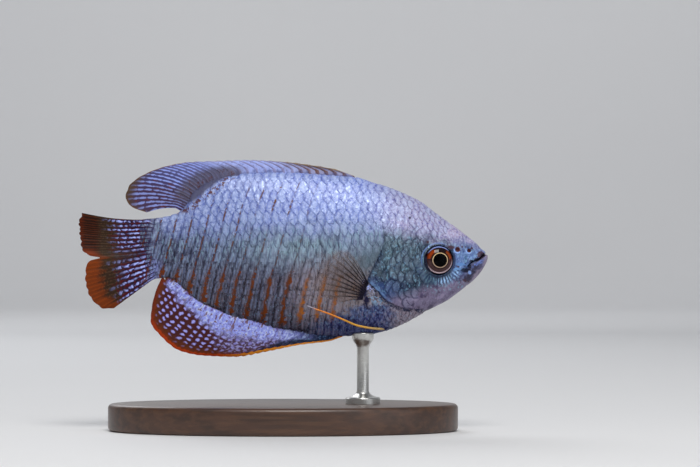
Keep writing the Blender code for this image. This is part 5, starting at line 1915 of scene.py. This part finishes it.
DORSAL_RAYS = [
    (0, 13.4, 11.4, 15.5), (0.1, 9.2, 4.8, 16.55), (0.25, 3.6, -1, 17.3), (0.4, -2.2, -6.6, 17.55),
    (0.55, -8, -12.4, 17.4), (0.65, -11.8, -17, 17.2), (0.74, -14.6, -21.4, 16.4),
    (0.82, -16.3, -25.6, 14.8), (0.88, -17.2, -28.2, 12.7), (0.93, -17.8, -28.8, 10.6),
    (0.97, -18.3, -27.4, 8.8), (1, -18.8, -24.9, 7.95),
]
ANAL_RAYS = [
    (0, 11, 10.2, -15.4), (0.15, 5.6, 3.2, -16.25), (0.3, 0.4, -2.8, -17.5), (0.45, -4.8, -8.6, -18.5),
    (0.6, -10, -14.8, -18.25), (0.7, -13.2, -18.9, -17.35), (0.79, -15.9, -22.3, -14.7),
    (0.87, -18, -24.2, -11.8), (0.93, -19.4, -23.9, -8.9), (0.97, -20.3, -23.1, -6), (1, -21.5, -22, -3.6),
]


def main() -> None:
    """Builds and dresses every piece."""
    logging.basicConfig(level=logging.INFO, format="%(message)s")
    for obj in list(bpy.data.objects):
        bpy.data.objects.remove(obj)
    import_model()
    form = FishForm()
    lattice = Lattice(form)
    flesh = FleshFinish("fish_flesh", roughness=0.44, specular=0.2, coat_weight=0.14,
                        coat_roughness=0.22).make()
    Skin(form, lattice).build(flesh)
    scales = Scales(form, lattice)
    trunk, head = scales.trunk_seeds(), scales.cheek_seeds()
    breast = scales.breast_seeds()
    for side in Side:
        scales.build(f"trunk_scales_{side.word}", trunk, side, flesh)
        scales.build(f"cheek_scales_{side.word}", head, side, flesh)
        scales.build(f"breast_scales_{side.word}", breast, side, flesh)
    eye, feeler = EyeFinish("wet_eye").make(), FeelerFinish("feeler_skin", roughness=0.35).make()
    pectoral = PectoralFinish("pectoral_skin").make()
    for side in Side:
        Eye(form, side).build(eye)
        Feeler(form, side).build(feeler)
        PectoralFin(form, f"pectoral_fin_{side.word}_blade", "pectoral_fin", 13, side=side, per_ray=12,
                    skin=0.05, ray_root=0.22, ray_tip=0.08).build(pectoral)
    MedianFin(form, "dorsal_fin_blade", "dorsal_fin", 25, rays=DORSAL_RAYS, outward=1, sway=0.5).build(
        DorsalFinish("dorsal_skin").make())
    MedianFin(form, "anal_fin_blade", "anal_fin", 30, rays=ANAL_RAYS, outward=-1, sway=0.6,
              spines=0.42, notch=0.05).build(AnalFinish("anal_skin").make())
    TailFin(form, "tail_fin_blade", "tail_fin", 17, per_ray=12).build(TailFinish("tail_skin").make())
    stand = Stand(form)
    stand.build_base(WalnutFinish("walnut").make())
    stand.build_rod(SteelFinish("brushed_steel").make())
    Studio().build(StudioFinish("paper").make())


if __name__ == "__main__":
    main()
